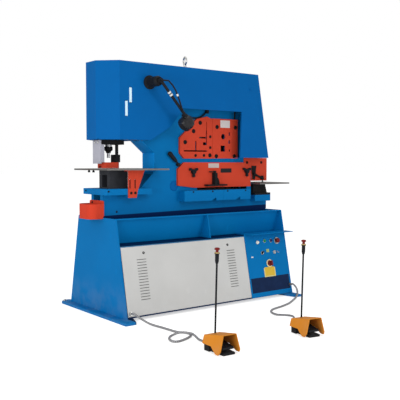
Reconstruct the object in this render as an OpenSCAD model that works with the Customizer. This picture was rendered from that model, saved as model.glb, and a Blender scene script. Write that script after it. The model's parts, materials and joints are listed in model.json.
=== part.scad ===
// Hydraulic ironworker with punch station, angle, bar and flat shears, notcher and two foot switches.
// Millimetres. X runs along the machine, the operator stands at -Y, Z is up from the floor.
// The origin is the centre of the four floor-anchor holes.

/* [Base cabinet] */
// Length of the base cabinet
base_len = 1660; // [1400:10:2000]
// Width of the base cabinet at the floor
base_w = 856; // [700:2:1000]
// Width of the base cabinet at its top edge
base_top_w = 560; // [480:2:700]
// Height of the base cabinet
base_h = 722; // [650:1:800]
// Thickness of the end plates
end_t = 10; // [6:1:16]
// Thickness of folded sheet
sheet = 6; // [3:0.5:8]
// Thickness of the foot plates
foot_t = 20; // [12:1:24]
// Spacing of the anchor holes along the machine
anchor_x = 1610; // [1500:2:1640]
// Spacing of the anchor holes across the machine
anchor_y = 910; // [880:2:960]
// Radius of an anchor hole
anchor_r = 9; // [6:0.5:14]
// Height of the shelf that closes the recess below the top edge
recess_z = 535; // [480:1:600]
// Depth of the recess at its foot
recess_in = 90; // [60:1:120]
// Width of the lip along the top edge
lip_w = 38; // [20:1:60]
// Height of the trough floor that carries the frame
trough_z = 560; // [500:1:640]

/* [Frame] */
// Thickness of each frame plate
plate_t = 35; // [25:1:45]
// Gap between the two frame plates
plate_gap = 100; // [80:1:120]
// Height of the underside of the punch head
head_z = 1300; // [1250:1:1350]
// Height of the top face of the punch bed
bed_z = 935; // [900:1:980]
// Thickness of the punch bed
bed_t = 45; // [30:1:60]
// Width of the punch bed across the machine
bed_w = 352; // [300:2:420]
// Distance from the machine centre to the left end of the frame
frame_left = 824; // [780:1:860]
// Distance from the machine centre to the right end of the frame
frame_right = 834; // [800:1:880]
// Distance from the machine centre to the back wall of the punch throat
throat_x = 361; // [320:1:420]
// Distance from the machine centre to the wall of the notcher throat
notch_wall = 650; // [620:1:680]

/* [Cover] */
// Height of the top of the cover
cover_h = 1875; // [1800:1:1950]
// Width of the cover across the machine
cover_w = 398; // [360:2:440]
// Distance from the machine centre to the left end of the cover
cover_left = 868; // [840:1:900]
// Size of the bevel at the left corners
cover_bevel = 127; // [80:1:150]
// Sheet thickness of the cover
cover_t = 4; // [2:0.5:6]

/* [Punch station] */
// Distance from the machine centre to the punch axis
punch_x = 722; // [700:1:740]
// Radius of the punch
punch_r = 12; // [8:0.5:14]
// Radial clearance between punch and die
punch_gap = 0.4; // [0.3:0.05:0.8]
// Travel of the ram
punch_stroke = 85; // [60:1:88]
// Height of the punch tip at rest
punch_tip_z = 1165; // [1150:1:1180]
// Radius of the ram
ram_r = 25; // [20:1:28]
// Radial running clearance of the ram in its guide
ram_gap = 0.05; // [0.02:0.01:0.1]
// Radius of the die
die_r = 24; // [20:1:28]
// Depth of the die in its block
die_h = 25; // [15:1:35]
// Height of the top face of the punch table
table_z = 1085; // [1075:1:1100]
// Thickness of the punch table
table_t = 12; // [8:1:20]
// Width of the punch table across the machine
table_w = 500; // [400:10:600]

/* [Shear] */
// Height of the flat-bar shear bed
shear_z = 905; // [890:1:920]
// Height of the mouth of the flat-bar shear
mouth_h = 22; // [16:1:26]
// Length of the flat-bar shear
mouth_len = 540; // [400:10:560]
// Distance from the machine centre to the shear pivot
pivot_x = 172; // [150:1:190]
// Height of the shear pivot
pivot_z = 944; // [930:1:960]
// Radius of the pivot pin
pivot_r = 40; // [30:1:45]
// Radial running clearance of the beam and of every hinge pin
pivot_gap = 0.05; // [0.02:0.01:0.1]
// Thickness of the shear beam
beam_t = 59; // [50:1:59]
// Clearance between the beam and the fixed blades
blade_gap = 0.5; // [0.3:0.1:1]
// Radius of the round-bar hole in the guard
round_r = 23; // [16:1:26]
// Side of the square-bar hole in the guard
square_a = 50; // [30:1:54]
// Depth of the shear guards
guard_t = 20; // [14:1:26]
// Skin thickness of the shear guards
guard_skin = 10; // [6:1:12]

/* [Notcher] */
// Distance from the machine centre to the notcher axis
notch_x = 745; // [730:1:760]
// Height of the notcher table
notch_z = 955; // [940:1:970]
// Thickness of the notcher table
notch_t = 12; // [6:1:14]
// Length of the notching blade
notch_len = 86; // [60:1:96]
// Width of the notching blade
notch_w = 50; // [30:1:56]
// Clearance around the notching blade in its die
notch_gap = 6; // [4:0.5:8]

/* [Lamp] */
// Distance from the machine centre to the lamp turret
lamp_x = 480; // [440:1:520]
// Height of the lamp turret
lamp_z = 1731; // [1680:1:1760]
// Reach of the lamp arm
lamp_reach = 332; // [250:1:360]
// Angle of the lamp arm below the horizontal
lamp_droop = 48; // [30:0.5:70]
// Radius of the lamp head
lamp_r = 58; // [45:1:65]

/* [Controls] */
// Radius of the mushroom stop buttons
stop_r = 20; // [16:1:24]
// Radius of a push button
button_r = 11; // [9:0.5:13]
// Radial clearance of a button in its hole
button_gap = 0.4; // [0.3:0.1:0.8]
// Travel of a push button
button_stroke = 4; // [3:0.5:6]

/* [Foot switches] */
// Length of a foot switch
pedal_len = 222; // [200:2:240]
// Width of the hood at the floor
hood_w = 166; // [130:2:180]
// Width of the hood at its top
hood_top_w = 97; // [80:1:110]
// Height of the hood at its open front
hood_h = 125; // [110:1:140]
// Height of the hood at its back
hood_back_h = 94; // [80:1:110]
// Wall thickness of the hood
hood_t = 4; // [3:0.5:6]
// Width of the foot-switch base
pedal_w = 114; // [100:1:120]
// Height of the foot-switch base
pedal_h = 50; // [40:1:60]
// Height of the ring on top of the stop pole
pole_h = 582; // [500:1:700]
// Radius of the stop pole
pole_r = 6; // [5:0.5:8]
// Lean of the stop pole in degrees
pole_lean = 1.6; // [0:0.1:4]
// Radius of the armoured conduits
conduit_r = 8; // [5:0.5:9]

/* [Hidden] */
$fn = 64;
blue = [0.03, 0.36, 0.64];
red = [0.82, 0.25, 0.15];
black = [0.08, 0.09, 0.1];
steel = [0.6, 0.62, 0.65];
amber = [0.88, 0.55, 0.14];
white = [0.85, 0.85, 0.83];

half_len = base_len / 2;
half_w = base_w / 2;
half_top = base_top_w / 2;
lean = atan((half_w - half_top) / base_h);
frame_half = plate_gap / 2 + plate_t;
bed_under = bed_z - bed_t;
cover_half = cover_w / 2;
beam_half = beam_t / 2;
table_under = table_z - table_t;
guard_y = -frame_half - guard_t;
pocket_y = guard_y + guard_skin;
pedal_back = pedal_len / 2 - 36;
panel_t = 3;
// Height of the coupling nut above the punch tip
nut_h = 85;
// Length of the ram: its grip in the guide and its travel
ram_len = 315 + punch_stroke;
// Gap left between pieces that are welded to each other
weld_gap = 0.1;
// Distance from the machine centre to the left end of the frame at the punch head
head_left = min(cover_left - 24, cover_left - 11 - (frame_half - cover_half + cover_bevel));
// Clear length inside the end plates, to each side
inner = half_len - end_t - weld_gap;
// Left end of the frame plates where they stand in the trough
frame_foot = min(inner, frame_left);
// Half width of the trough floor
trough_half = half_top - recess_in + 3;
// Foot of the stop pole on the foot switch
pole_at = [10, 55];
// Top of the frame plates
frame_top = 1860;
// Edge of the punch throat, from the bed up to the head
throat_edge = [[-490, bed_z], [-throat_x, 1060], [-throat_x, 1205], [-475, head_z]];
// Thickness of the plate under the head and the lower end of the stripper's arms
head_plate_t = 35;
arm_foot = 1132;
// Screws of the stripper: positions across the machine and height
leg_screw_y = [-22, 26];
leg_screw_z = 1280;
// Bolt of the top cover: position along the machine and height
cover_bolt = [535, 1743];
// Left end of the flat-bar mouth
mouth_x = 60;
// Depth of the flat-bar supports and their lower end
support_d = 80;
support_z = 820;
// Knobs of the flat-bar guard: positions along the machine and height
knob_x = [-2, 575];
knob_z = 1058;
// Screw of the hold-down: its place along the machine and its radius
hold_x = 214;
hold_r = 8;
// Notcher shelf: lower face, thickness and width
shelf_z = 796;
shelf_t = 54;
shelf_w = 280;
// Material stop: pivot of its arm and place of its screw along the machine
stop_pivot = [676, 1031];
stop_screw_x = 770;

// Foot switches: centre on the floor and turn about the vertical
pedal_left = [-782, -1390];
pedal_left_turn = -4;
pedal_right = [-65, -1413];
pedal_right_turn = -10;

// Glands on the cabinet: position along the machine and height up the sloping front
gland_left = [-795, 57];
gland_right = [808, 93];
gland_len = 20;
gland_r = 11;

// Routes of the two armoured conduits
route_left = [[-795, -437, 60.2], [-795, -461, 65], [-787, -492, 53], [-776, -532, 37],
    [-763, -577, 21], [-751, -627, 12], [-741, -682, 9], [-736, -740, 9], [-733, -803, 9],
    [-731, -850, 9], [-724, -896, 9], [-712, -911, 9], [-700, -926, 9], [-692, -945, 9],
    [-688, -966, 9], [-692, -989, 9], [-703, -1011, 9], [-722, -1029, 9], [-748, -1046, 9],
    [-781, -1063, 9], [-815, -1076, 9], [-845, -1084, 9], [-869, -1084, 9], [-883, -1074, 9],
    [-888, -1057, 9], [-884, -1032, 9], [-873, -1005, 9], [-856, -980, 9], [-835, -959, 9],
    [-814, -948, 11], [-794, -947, 15], [-775, -956, 22], [-758, -974, 28], [-740, -1003, 30],
    [-727, -1033, 29], [-722, -1048, 28], [-723, -1065, 25], [-731, -1102, 19], [-744, -1144, 15],
    [-773, -1222, 24], [-798.5, -1268.1, 28], [-800.3, -1293, 28]];
route_right = [[808, -429.5, 95.3], [809, -448, 98.5], [816, -470, 82], [816, -490, 56],
    [797, -514, 34], [757, -545, 21], [708, -577, 12], [655, -608, 9], [590, -648, 9],
    [525, -686, 9], [460, -712, 9], [398, -733, 9], [342, -748, 9], [289, -762, 9], [244, -781, 9],
    [204, -812, 9], [175, -853, 9], [158, -900, 10], [146, -945, 14], [135, -990, 22],
    [126, -1040, 31], [117, -1094, 39], [98, -1146, 44], [66, -1186, 44], [32, -1214, 39],
    [4, -1240, 33], [-14, -1268, 30], [-24.2, -1296.8, 28.6], [-28.7, -1322.4, 28]];
hose_y = -frame_half - 13;
route_hose = [[-66, hose_y, 1512], [-52, hose_y, 1506], [-24, hose_y, 1498], [10, hose_y, 1492],
    [45, hose_y, 1491], [85, hose_y, 1500], [118, hose_y, 1518], [141, hose_y, 1540]];
lead_y = -cover_half - 170.6;
route_lead = [[-498, lead_y, 1733], [-425, lead_y, 1732], [-388, lead_y, 1701],
    [-360, lead_y, 1665], [-332, lead_y, 1606], [-304, lead_y, 1536], [-285, lead_y, 1498]];

// ---- shared helpers ----

// Half width of the sloping front at a height
function slope_y(z) = half_w - (half_w - half_top) * z / base_h;

// Unit vector
function unit(v) = v / norm(v);

// Direction of a route at one of its points
function heading(p, i) = unit(p[min(i + 1, len(p) - 1)] - p[max(i - 1, 0)]);

// Side direction of a route, square to a reference direction
function side_dir(p, i, ref) = unit(cross(heading(p, i), ref));

// One point of the skin of a swept tube
function skin_point(p, i, j, r, sides, ref) = p[i]
    + r * cos(360 * j / sides) * side_dir(p, i, ref)
    + r * sin(360 * j / sides) * cross(side_dir(p, i, ref), heading(p, i));

// Round tube swept along a route
module swept_tube(p, r, sides, ref) {
    n = len(p);
    points = [for (i = [0 : n - 1], j = [0 : sides - 1]) skin_point(p, i, j, r, sides, ref)];
    walls = [for (i = [0 : n - 2], j = [0 : sides - 1])
        [i * sides + j, i * sides + (j + 1) % sides,
            (i + 1) * sides + (j + 1) % sides, (i + 1) * sides + j]];
    first = [for (j = [sides - 1 : -1 : 0]) j];
    last = [for (j = [0 : sides - 1]) (n - 1) * sides + j];
    polyhedron(points, concat(walls, [first, last]), convexity = 6);
}

// Upright slab: the sketch lies in X and Z, the slab starts at y and is t deep
module slab(y, t) {
    translate([0, y + t, 0])
        rotate([90, 0, 0])
            linear_extrude(height = t)
                children();
}

// Cross slice: the sketch lies in Y and Z, the slice starts at x and is t long
module slice(x, t) {
    translate([x, 0, 0])
        rotate([90, 0, 90])
            linear_extrude(height = t)
                children();
}

// Puts children on the sloping front: X along, Y up the slope, Z outward
module on_slope() {
    translate([0, -half_w, 0])
        rotate([90 - lean, 0, 0])
            children();
}

// Cylinder along Y from y, length l
module rod_y(x, z, y, r, l) {
    translate([x, y + l, z])
        rotate([90, 0, 0])
            cylinder(r = r, h = l);
}

// Rectangle between two corners
module rect(a, b) {
    translate(a)
        square(b - a);
}

// Rectangle between two corners with rounded corners
module round_rect(a, b, r) {
    translate([a.x, a.y + r])
        square([b.x - a.x, b.y - a.y - 2 * r]);
    translate([a.x + r, a.y])
        square([b.x - a.x - 2 * r, b.y - a.y]);
    for (x = [a.x + r, b.x - r], y = [a.y + r, b.y - r])
        translate([x, y])
            circle(r);
}

// ---- base cabinet ----

module end_profile() {
    z0 = foot_t + weld_gap;
    polygon([[-slope_y(z0), z0], [slope_y(z0), z0], [half_top, base_h], [-half_top, base_h]]);
}

module recess_profile() {
    toe = -half_top + recess_in;
    polygon([[-half_top, base_h], [-half_top + lip_w, base_h], [toe, recess_z],
        [toe - sheet, recess_z], [-half_top + lip_w - sheet, base_h - 8],
        [-half_top, base_h - 8]]);
}

module gusset_profile() {
    polygon([[-half_top, base_h - 8 - weld_gap], [-slope_y(recess_z), recess_z],
        [-half_top + recess_in - sheet - weld_gap, recess_z],
        [-half_top + lip_w - sheet - weld_gap, base_h - 8 - weld_gap]]);
}

module bulkhead_profile() {
    foot = slope_y(foot_t) - 60;
    head = trough_half - 75;
    z0 = foot_t + sheet + 2 * weld_gap;
    z1 = trough_z - 12 - weld_gap;
    difference() {
        polygon([[-foot, z0], [foot, z0], [head, z1], [-head, z1]]);
        rect([-170, 120], [170, 400]);
    }
}

module foot_plan_left() {
    polygon([[-900, -525], [-814, -525], [-773, -423], [-773, 423], [-814, 492], [-862, 492],
        [-894, 458]]);
}

module foot_plan_right() {
    polygon([[735, -340], [772, -520], [835, -520], [835, 520], [772, 520], [735, 340]]);
}

// Foot plate with two anchor holes
module foot_plate(x) {
    difference() {
        linear_extrude(height = foot_t)
            children();
        for (y = [-anchor_y / 2, anchor_y / 2])
            translate([x, y, -1])
                cylinder(r = anchor_r, h = foot_t + 2);
    }
}

// Sheet strip behind the sloping front, from s up the slope
module slope_strip(s, w, t, depth) {
    on_slope()
        translate([-inner, s, -depth - t])
            cube([2 * inner, w, t]);
}

// Welded cabinet: end plates, recessed rails, bulkheads, trough floor and foot plates
module base_frame() {
    shelf_y = slope_y(recess_z) - sheet;
    color(blue) {
        for (x = [-half_len, half_len - end_t])
            slice(x, end_t)
                end_profile();
        for (s = [0, 1])
            mirror([0, s, 0]) {
                slice(-inner, 2 * inner)
                    recess_profile();
                slope_strip(foot_t + 3, 48, sheet, panel_t + weld_gap);
                slope_strip(recess_z - 40, 32, sheet, panel_t + weld_gap);
            }
        mirror([0, 1, 0])
            slope_strip(foot_t + 3, recess_z, panel_t, 0);
        slice(10, 8)
            gusset_profile();
        translate([372, -shelf_y, recess_z])
            cube([inner - 372, shelf_y - half_top + recess_in - sheet - 2, 5]);
        for (x = [-420, 340])
            slice(x, 30)
                bulkhead_profile();
        translate([-inner, -trough_half, trough_z - 12])
            cube([2 * inner, 2 * trough_half, 12]);
        translate([-inner, -slope_y(foot_t) + 16, foot_t + weld_gap])
            cube([2 * inner, 2 * slope_y(foot_t) - 32, sheet]);
        foot_plate(-anchor_x / 2)
            foot_plan_left();
        foot_plate(anchor_x / 2)
            foot_plan_right();
    }
}

// White service panel with two louvre fields
module service_panel() {
    color(white)
        on_slope()
            translate([0, 0, -panel_t])
                difference() {
                    linear_extrude(height = panel_t)
                        rect([-815, 34], [362, 530]);
                    for (x = [-651, 201], i = [0 : 14])
                        translate([x - 40, 142 + 20.7 * i, -1])
                            cube([80, 3, panel_t + 2]);
                    for (x = [-627, 176])
                        translate([x, 480, -1])
                            cylinder(r = 7, h = panel_t + 2);
                    translate([gland_left.x, gland_left.y, -1])
                        cylinder(r = gland_r - 3, h = panel_t + 2);
                }
}

// ---- main frame ----

module frame_outline() {
    left_foot = [[-frame_foot, trough_z + weld_gap], [-frame_foot, base_h + 1],
        [-frame_left, base_h + 1], [-frame_left, bed_under], [throat_edge[0].x, bed_under]];
    head = [[-head_left, head_z], [-head_left, frame_top], [600, frame_top], [715, 1180]];
    right_foot = [[notch_wall, 1180], [notch_wall, shelf_z], [frame_right, shelf_z],
        [frame_right, base_h + 1], [inner, base_h + 1], [inner, trough_z + weld_gap]];
    polygon(concat(left_foot, throat_edge, head, right_foot));
}

// Openings for the bar and section shears, grown by g all round
module stock_holes(g) {
    square_h = square_a / 2 + g;
    translate([321, 1347])
        circle(round_r + g);
    translate([318, 1247])
        rect([-square_h, -square_h], [square_h, square_h]);
    rect([-89 - g, 1219 - g], [148 + g, 1230 + g]);
    rect([25 - g, 1230 - g], [39 + g, 1303 + g]);
    rect([136 - g, 1275 - g], [147 + g, 1392 + g]);
    rect([140 - g, 1392 - g], [146 + g, 1463 + g]);
    rect([66 - g, 1327 - g], [147 + g, 1340 + g]);
    rect([105 - g, 1273 - g], [147 + g, 1296 + g]);
}

module frame_plate() {
    difference() {
        linear_extrude(height = plate_t)
            difference() {
                frame_outline();
                stock_holes(1.5);
                rect([mouth_x, shear_z], [mouth_x + mouth_len, shear_z + mouth_h]);
                translate([-pivot_x, pivot_z])
                    circle(pivot_r);
            }
        translate([-pivot_x, pivot_z, plate_t - 3])
            cylinder(r1 = pivot_r - 0.01, r2 = pivot_r + 3, h = 3.01);
    }
}

// Two thick side plates tied by blocks
module frame_plates() {
    color(blue) {
        translate([0, -plate_gap / 2, 0])
            rotate([90, 0, 0])
                frame_plate();
        translate([0, plate_gap / 2, 0])
            mirror([0, 1, 0])
                rotate([90, 0, 0])
                    frame_plate();
        slab(-plate_gap / 2 + weld_gap, plate_gap - 2 * weld_gap) {
            rect([-40, frame_top - 40], [40, frame_top]);
            rect([-330, 1220], [-280, 1520]);
            rect([-300, 600], [600, 640]);
            throat_liner();
        }
    }
}

// Strip that closes the gap between the plates along the punch throat
module throat_liner() {
    polygon(concat(throat_edge,
        [[-456, head_z], [12 - throat_x, 1211], [12 - throat_x, 1054], [-473, bed_z]]));
}

module bed_plan() {
    difference() {
        rect([-842, -bed_w / 2], [-445, bed_w / 2]);
        rect([throat_edge[0].x, -frame_half], [-440, frame_half]);
        rect([-punch_x - 40, -30], [-punch_x + 40, 30]);
    }
}

// One hollow support for flat bars with a lightening corner at its foot
module bar_support(x0, x1, corner) {
    y0 = -frame_half - support_d;
    difference() {
        translate([x0, y0, support_z])
            cube([x1 - x0, support_d, shear_z - support_z]);
        translate([x0 + 8, y0 + 8, support_z - 10])
            cube([x1 - x0 - 16, support_d, shear_z - support_z]);
        slab(y0 - 1, 10)
            polygon([[corner - 52, support_z - 1], [corner, support_z - 1], [corner, support_z + 25]]);
    }
}

// Punch bed, flat-bar supports and notcher shelf, welded to the frame plates
module frame_beds() {
    color(blue) {
        translate([0, 0, bed_under])
            linear_extrude(height = bed_t)
                bed_plan();
        bar_support(-127, 277, 199);
        bar_support(279, 578, 460);
        translate([notch_wall, -shelf_w / 2, shelf_z])
            difference() {
                cube([frame_right - notch_wall, shelf_w, shelf_t]);
                translate([notch_x - notch_wall - notch_len / 2 - 10, (shelf_w - notch_w) / 2 - 10, -1])
                    cube([notch_len + 20, notch_w + 20, shelf_t + 2]);
            }
    }
}

// ---- cover ----

module cover_outline() {
    polygon([[-cover_left, head_z], [-464, head_z], [-283, 1409], [-162, 1553], [444, 1553],
        [428, 1171], [752, 1171], [627, cover_h], [-cover_left, cover_h]]);
}

module cover_plan() {
    polygon([[-cover_left, -cover_half + cover_bevel], [-cover_left + cover_bevel, -cover_half],
        [800, -cover_half], [800, cover_half], [-cover_left + cover_bevel, cover_half],
        [-cover_left, cover_half - cover_bevel]]);
}

module cover_body(t) {
    intersection() {
        slab(-cover_half + t, cover_w - 2 * t)
            offset(delta = -t)
                cover_outline();
        translate([0, 0, 1000])
            linear_extrude(height = 1000)
                offset(delta = -t)
                    cover_plan();
    }
}

// Sheet cover over the head, the cylinders and the shear beam
module top_cover() {
    color(blue)
        difference() {
            cover_body(0);
            cover_body(cover_t);
            slab(-frame_half, 2 * frame_half)
                union() {
                    rect([-860, head_z - 5], [-440, head_z + 10]);
                    rect([420, 1165], [738, 1180]);
                }
            slab(guard_y - 10, guard_t + 10)
                rect([420, 1165], [484, 1180]);
            slab(-cover_half + 14, cover_w - 28)
                polygon([[-460, head_z - 5], [-460, head_z + 10], [-290, 1425],
                    [-170, 1575], [460, 1575], [450, 1178], [420, 1165], [-300, 1165]]);
            for (p = [[-647, 1568], [-683, 1468]])
                slab(-cover_half - 1, cover_t + 2)
                    round_rect([p.x - 11, p.y], [p.x + 11, p.y + 120], 10.5);
            rod_y(cover_bolt.x, cover_bolt.y, -cover_half - 1, 6, cover_t + 2);
            translate([0, 0, cover_h - 10])
                cylinder(r = 12.5, h = 20);
        }
}

// Lifting eye screwed into the top block of the frame
module lifting_eye() {
    color(steel) {
        translate([0, 0, frame_top])
            cylinder(r = 12, h = 69);
        translate([0, 0, frame_top + 97])
            rotate([90, 0, 75])
                rotate_extrude()
                    translate([31, 0])
                        circle(7);
    }
}

// ---- punch station ----

// Plate under the head with the right arm of the stripper
module head_plate() {
    color(black) {
        difference() {
            translate([-815, -60, head_z - head_plate_t])
                cube([195, 120, head_plate_t]);
            translate([-punch_x, 0, head_z - head_plate_t - 5])
                cylinder(r = ram_r + 2, h = head_plate_t + 15);
        }
        translate([-688, -50, arm_foot])
            cube([39, 73, 58]);
        translate([-688, -50, arm_foot])
            cube([23, 10, head_z - head_plate_t - arm_foot]);
    }
}

module ram_guide() {
    color(steel)
        difference() {
            translate([-punch_x - 50, -plate_gap / 2, head_z])
                cube([100, plate_gap, 380]);
            translate([-punch_x, 0, head_z - 1])
                cylinder(r = ram_r + ram_gap, h = 382);
        }
}

module ram() {
    color(steel)
        translate([-punch_x, 0, punch_tip_z + nut_h])
            cylinder(r = ram_r, h = ram_len);
}

// Coupling nut that holds the punch to the ram
module punch_nut() {
    color(black)
        translate([-punch_x, 0, punch_tip_z])
            rotate_extrude()
                polygon([[punch_r + 0.05, 36], [17, 36], [21, 50], [32, 58], [32, nut_h], [0, nut_h],
                    [0, 60], [punch_r + 0.05, 60]]);
}

module punch() {
    color(steel)
        translate([-punch_x, 0, punch_tip_z])
            cylinder(r = punch_r, h = 60);
}

// Left leg of the stripper, an angle with two screw holes
module stripper_legs() {
    color(steel) {
        difference() {
            translate([-823, -58, 1122])
                cube([8, 116, 174]);
            for (y = leg_screw_y)
                translate([-824, y, leg_screw_z])
                    rotate([0, 90, 0])
                        cylinder(r = 5, h = 10);
        }
        translate([-815, -58, arm_foot])
            cube([25, 8, head_z - head_plate_t - arm_foot]);
    }
}

// Stripper foot with a hole for the punch
module stripper_foot() {
    color(red)
        difference() {
            translate([0, 0, table_z + 3])
                linear_extrude(height = 44)
                    difference() {
                        round_rect([-795, -58], [-652, 58], 30);
                        translate([-punch_x, 0])
                            circle(32);
                    }
            translate([-815, -20, table_z + 2])
                cube([95, 40, 20]);
        }
}

// Die block with a square slug opening towards the left end
module die_block() {
    color(black)
        difference() {
            translate([-757, -80, bed_z])
                cube([156, 160, table_under - bed_z]);
            translate([-758, -37, bed_z + 10])
                cube([90, 74, 93]);
            translate([-punch_x, 0, table_under - die_h])
                cylinder(r = die_r, h = die_h + 1);
            translate([-punch_x, 0, bed_z + 60])
                cylinder(r = die_r - 5, h = 200);
            translate([-punch_x, 0, bed_z - 1])
                cylinder(r = 28, h = 20);
        }
}

module die() {
    color(steel)
        translate([-punch_x, 0, table_under - die_h])
            difference() {
                cylinder(r = die_r, h = die_h + table_t);
                translate([0, 0, -1])
                    cylinder(r = punch_r + punch_gap, h = die_h + table_t + 2);
            }
}

// Gauge table around the die, cut out for the frame
module punch_table() {
    color(steel)
        translate([0, 0, table_under])
            linear_extrude(height = table_t)
                difference() {
                    rect([-880, -table_w / 2], [-335, table_w / 2]);
                    rect([-throat_x - 4, -frame_half - 3], [-330, frame_half + 3]);
                    translate([-punch_x, 0])
                        circle(die_r + 1);
                }
}

// Bracket that ties the table to the punch bed
module table_bracket() {
    y0 = -bed_w / 2 - 8;
    color(red) {
        slab(y0, 8)
            difference() {
                polygon([[-660, table_under], [-516, table_under], [-579, 918], [-588, 867],
                    [-660, 867]]);
                round_rect([-652, 935], [-641, 1007], 5.4);
                round_rect([-607, 935], [-596, 1007], 5.4);
                for (x = [-636, -600])
                    translate([x, 903])
                        circle(5);
            }
        translate([-660, y0 + 8, table_under - 8])
            cube([144, 50, 8]);
    }
}

module bin_plan(t) {
    difference() {
        union() {
            rect([-56, -105 + t], [-8 - t, 105 - t]);
            rect([-115 + t, -45], [-46, 45]);
            for (s = [-1, 1])
                translate([-55, s * 45])
                    circle(60 - t);
        }
        rect([-8 - t, -200], [124, 200]);
    }
}

// Open bin for punched slugs with a raised back plate
module slug_bin() {
    color(red)
        translate([-frame_left, 0, 0]) {
            difference() {
                translate([0, 0, 714])
                    linear_extrude(height = 110)
                        bin_plan(0);
                translate([0, 0, 717])
                    linear_extrude(height = 110)
                        bin_plan(3);
            }
            slice(-8, 8)
                round_rect([-105, 727], [98, 848], 12);
        }
}

// ---- shear ----

// Pin that carries the shear beam
module pivot_pin() {
    color(steel)
        rotate([90, 0, 0])
            translate([-pivot_x, pivot_z, -frame_half]) {
                cylinder(r1 = pivot_r - 2, r2 = pivot_r, h = 2);
                translate([0, 0, 2])
                    cylinder(r = pivot_r, h = 2 * frame_half - 4);
                translate([0, 0, 2 * frame_half - 2])
                    cylinder(r1 = pivot_r, r2 = pivot_r - 2, h = 2);
            }
}

module beam_outline() {
    difference() {
        union() {
            translate([-pivot_x, pivot_z])
                circle(74);
            polygon([[-pivot_x, pivot_z - 74], [20, 872], [mouth_x, shear_z + 16],
                [mouth_x + mouth_len, shear_z + 37], [632, 990], [632, 1062],
                [notch_x - notch_len / 2, 1062], [notch_x - notch_len / 2, 990],
                [notch_x + notch_len / 2, 990], [notch_x + notch_len / 2, 1150],
                [700, 1165], [600, 1500], [-60, 1500], [-236, 1120], [-236, pivot_z]]);
        }
        translate([-pivot_x, pivot_z])
            circle(pivot_r + pivot_gap);
        stock_holes(2);
    }
}

// Moving beam between the plates with the flat, bar and section openings and the notching blade
module shear_beam() {
    color(steel)
        slab(-beam_half, beam_t)
            beam_outline();
}

// Fixed blades on the inner faces of the frame plates
module fixed_blades() {
    w = plate_gap / 2 - beam_half - blade_gap;
    color(steel)
        for (y = [-plate_gap / 2, plate_gap / 2 - w])
            translate([mouth_x, y, shear_z - 30])
                cube([mouth_len, w, 30]);
}

// Cast guard: a pan with a rim, open at the back
module pan(open_right) {
    difference() {
        slab(guard_y, guard_t)
            children(0);
        slab(pocket_y, guard_t)
            offset(delta = -14)
                children(0);
        if (open_right)
            slab(pocket_y, guard_t)
                rect([540, 910], [640, 1125]);
    }
}

module angle_guard_outline() {
    polygon([[-128, 1206], [-128, 1330], [-57, 1392], [41, 1483], [148, 1507], [188, 1492],
        [203, 1492], [203, 1163], [-87, 1163]]);
}

// Guard of the section shear
module angle_guard() {
    color(red)
        difference() {
            pan(false)
                angle_guard_outline();
            slab(guard_y - 1, guard_t + 2)
                intersection() {
                    stock_holes(0);
                    rect([-100, 1200], [200, 1480]);
                }
        }
}

// Guard of the bar shear
module bar_guard() {
    color(red)
        difference() {
            pan(false)
                rect([205, 1165], [480, 1494]);
            slab(guard_y - 1, guard_t + 2)
                union() {
                    intersection() {
                        stock_holes(0);
                        rect([260, 1200], [360, 1400]);
                    }
                    rect([381, 1358], [397, 1384]);
                    rect([379, 1288], [397, 1318]);
                    rect([383, 1222], [397, 1241]);
                }
        }
}

module flat_guard_outline() {
    polygon([[-149, 947], [-149, 1078], [-88, 1132], [565, 1132], [618, 1092], [630, 1080],
        [630, 926], [21, 926]]);
}

// Guard of the flat-bar shear, held by two star knobs
module flat_guard() {
    color(red)
        difference() {
            pan(true)
                flat_guard_outline();
            for (x = knob_x)
                rod_y(x, knob_z, guard_y - 1, 6 + pivot_gap, guard_t + 2);
        }
}

// Bolt head with its axis across the machine, flange towards the frame
module bolt_y(x, z, y, r, h) {
    rod_y(x, z, y - h, r, h);
}

// Bolt head on a face that looks to the left end
module bolt_x(x, y, z, r, h) {
    translate([x - h, y, z])
        rotate([0, 90, 0])
            cylinder(r = r, h = h);
}

// Screws of the guards and bolts of the cover, bed, table, stripper, bin and notcher
module fasteners() {
    big = [[76, 1454], [8, 1384], [-77, 1294], [177, 1190], [245, 1184], [441, 1185],
        [253, 1425], [452, 1427]];
    small = [[181, 1343], [181, 1254], [28, 1188], [115, 1189]];
    color(black) {
        for (p = big)
            bolt_y(p.x, p.y, guard_y, 17, 7);
        for (p = small)
            bolt_y(p.x, p.y, guard_y, 12, 5);
        for (x = [600, 767])
            bolt_y(x, 1132, -frame_half - 6, 12, 6);
        for (x = [-636, -600])
            bolt_y(x, 903, -bed_w / 2 - 8, 9, 6);
        bolt_y(cover_bolt.x, cover_bolt.y, -cover_half, 11, 6);
        for (y = leg_screw_y)
            bolt_x(-823, y, leg_screw_z, 9, 6);
        bolt_x(-frame_left - 8, 55, 832, 8, 6);
        bolt_x(-842, 133, 918, 7, 5);
        bolt_y(-825, 918, -bed_w / 2, 7, 5);
        bolt_y(-704, 760, -frame_half, 8, 3);
        for (x = [-40, 160, 320, 520])
            bolt_y(x, shear_z - 10, -frame_half - support_d, 7, 4);
        for (y = [-28, 40])
            translate([-866, y, table_under - 16])
                cylinder(r = 9, h = 16);
        translate([-868, 455, foot_t])
            cylinder(r = 15, h = 12, $fn = 6);
    }
}

// Three-armed clamping knob
module star_knob(x, z) {
    color(black) {
        difference() {
            rod_y(x, z, guard_y - 28, 19, 28);
            rod_y(x, z, guard_y - 29, 5, 4);
        }
        for (a = [90, 210, 330])
            translate([x, 0, z])
                rotate([0, a, 0]) {
                    translate([0, guard_y - 24, -8])
                        cube([36, 16, 16]);
                    rod_y(36, 0, guard_y - 24, 11, 16);
                }
        rod_y(x, z, guard_y, 6, 16);
    }
}

module star_knob_left() {
    star_knob(knob_x[0], knob_z);
}

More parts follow.
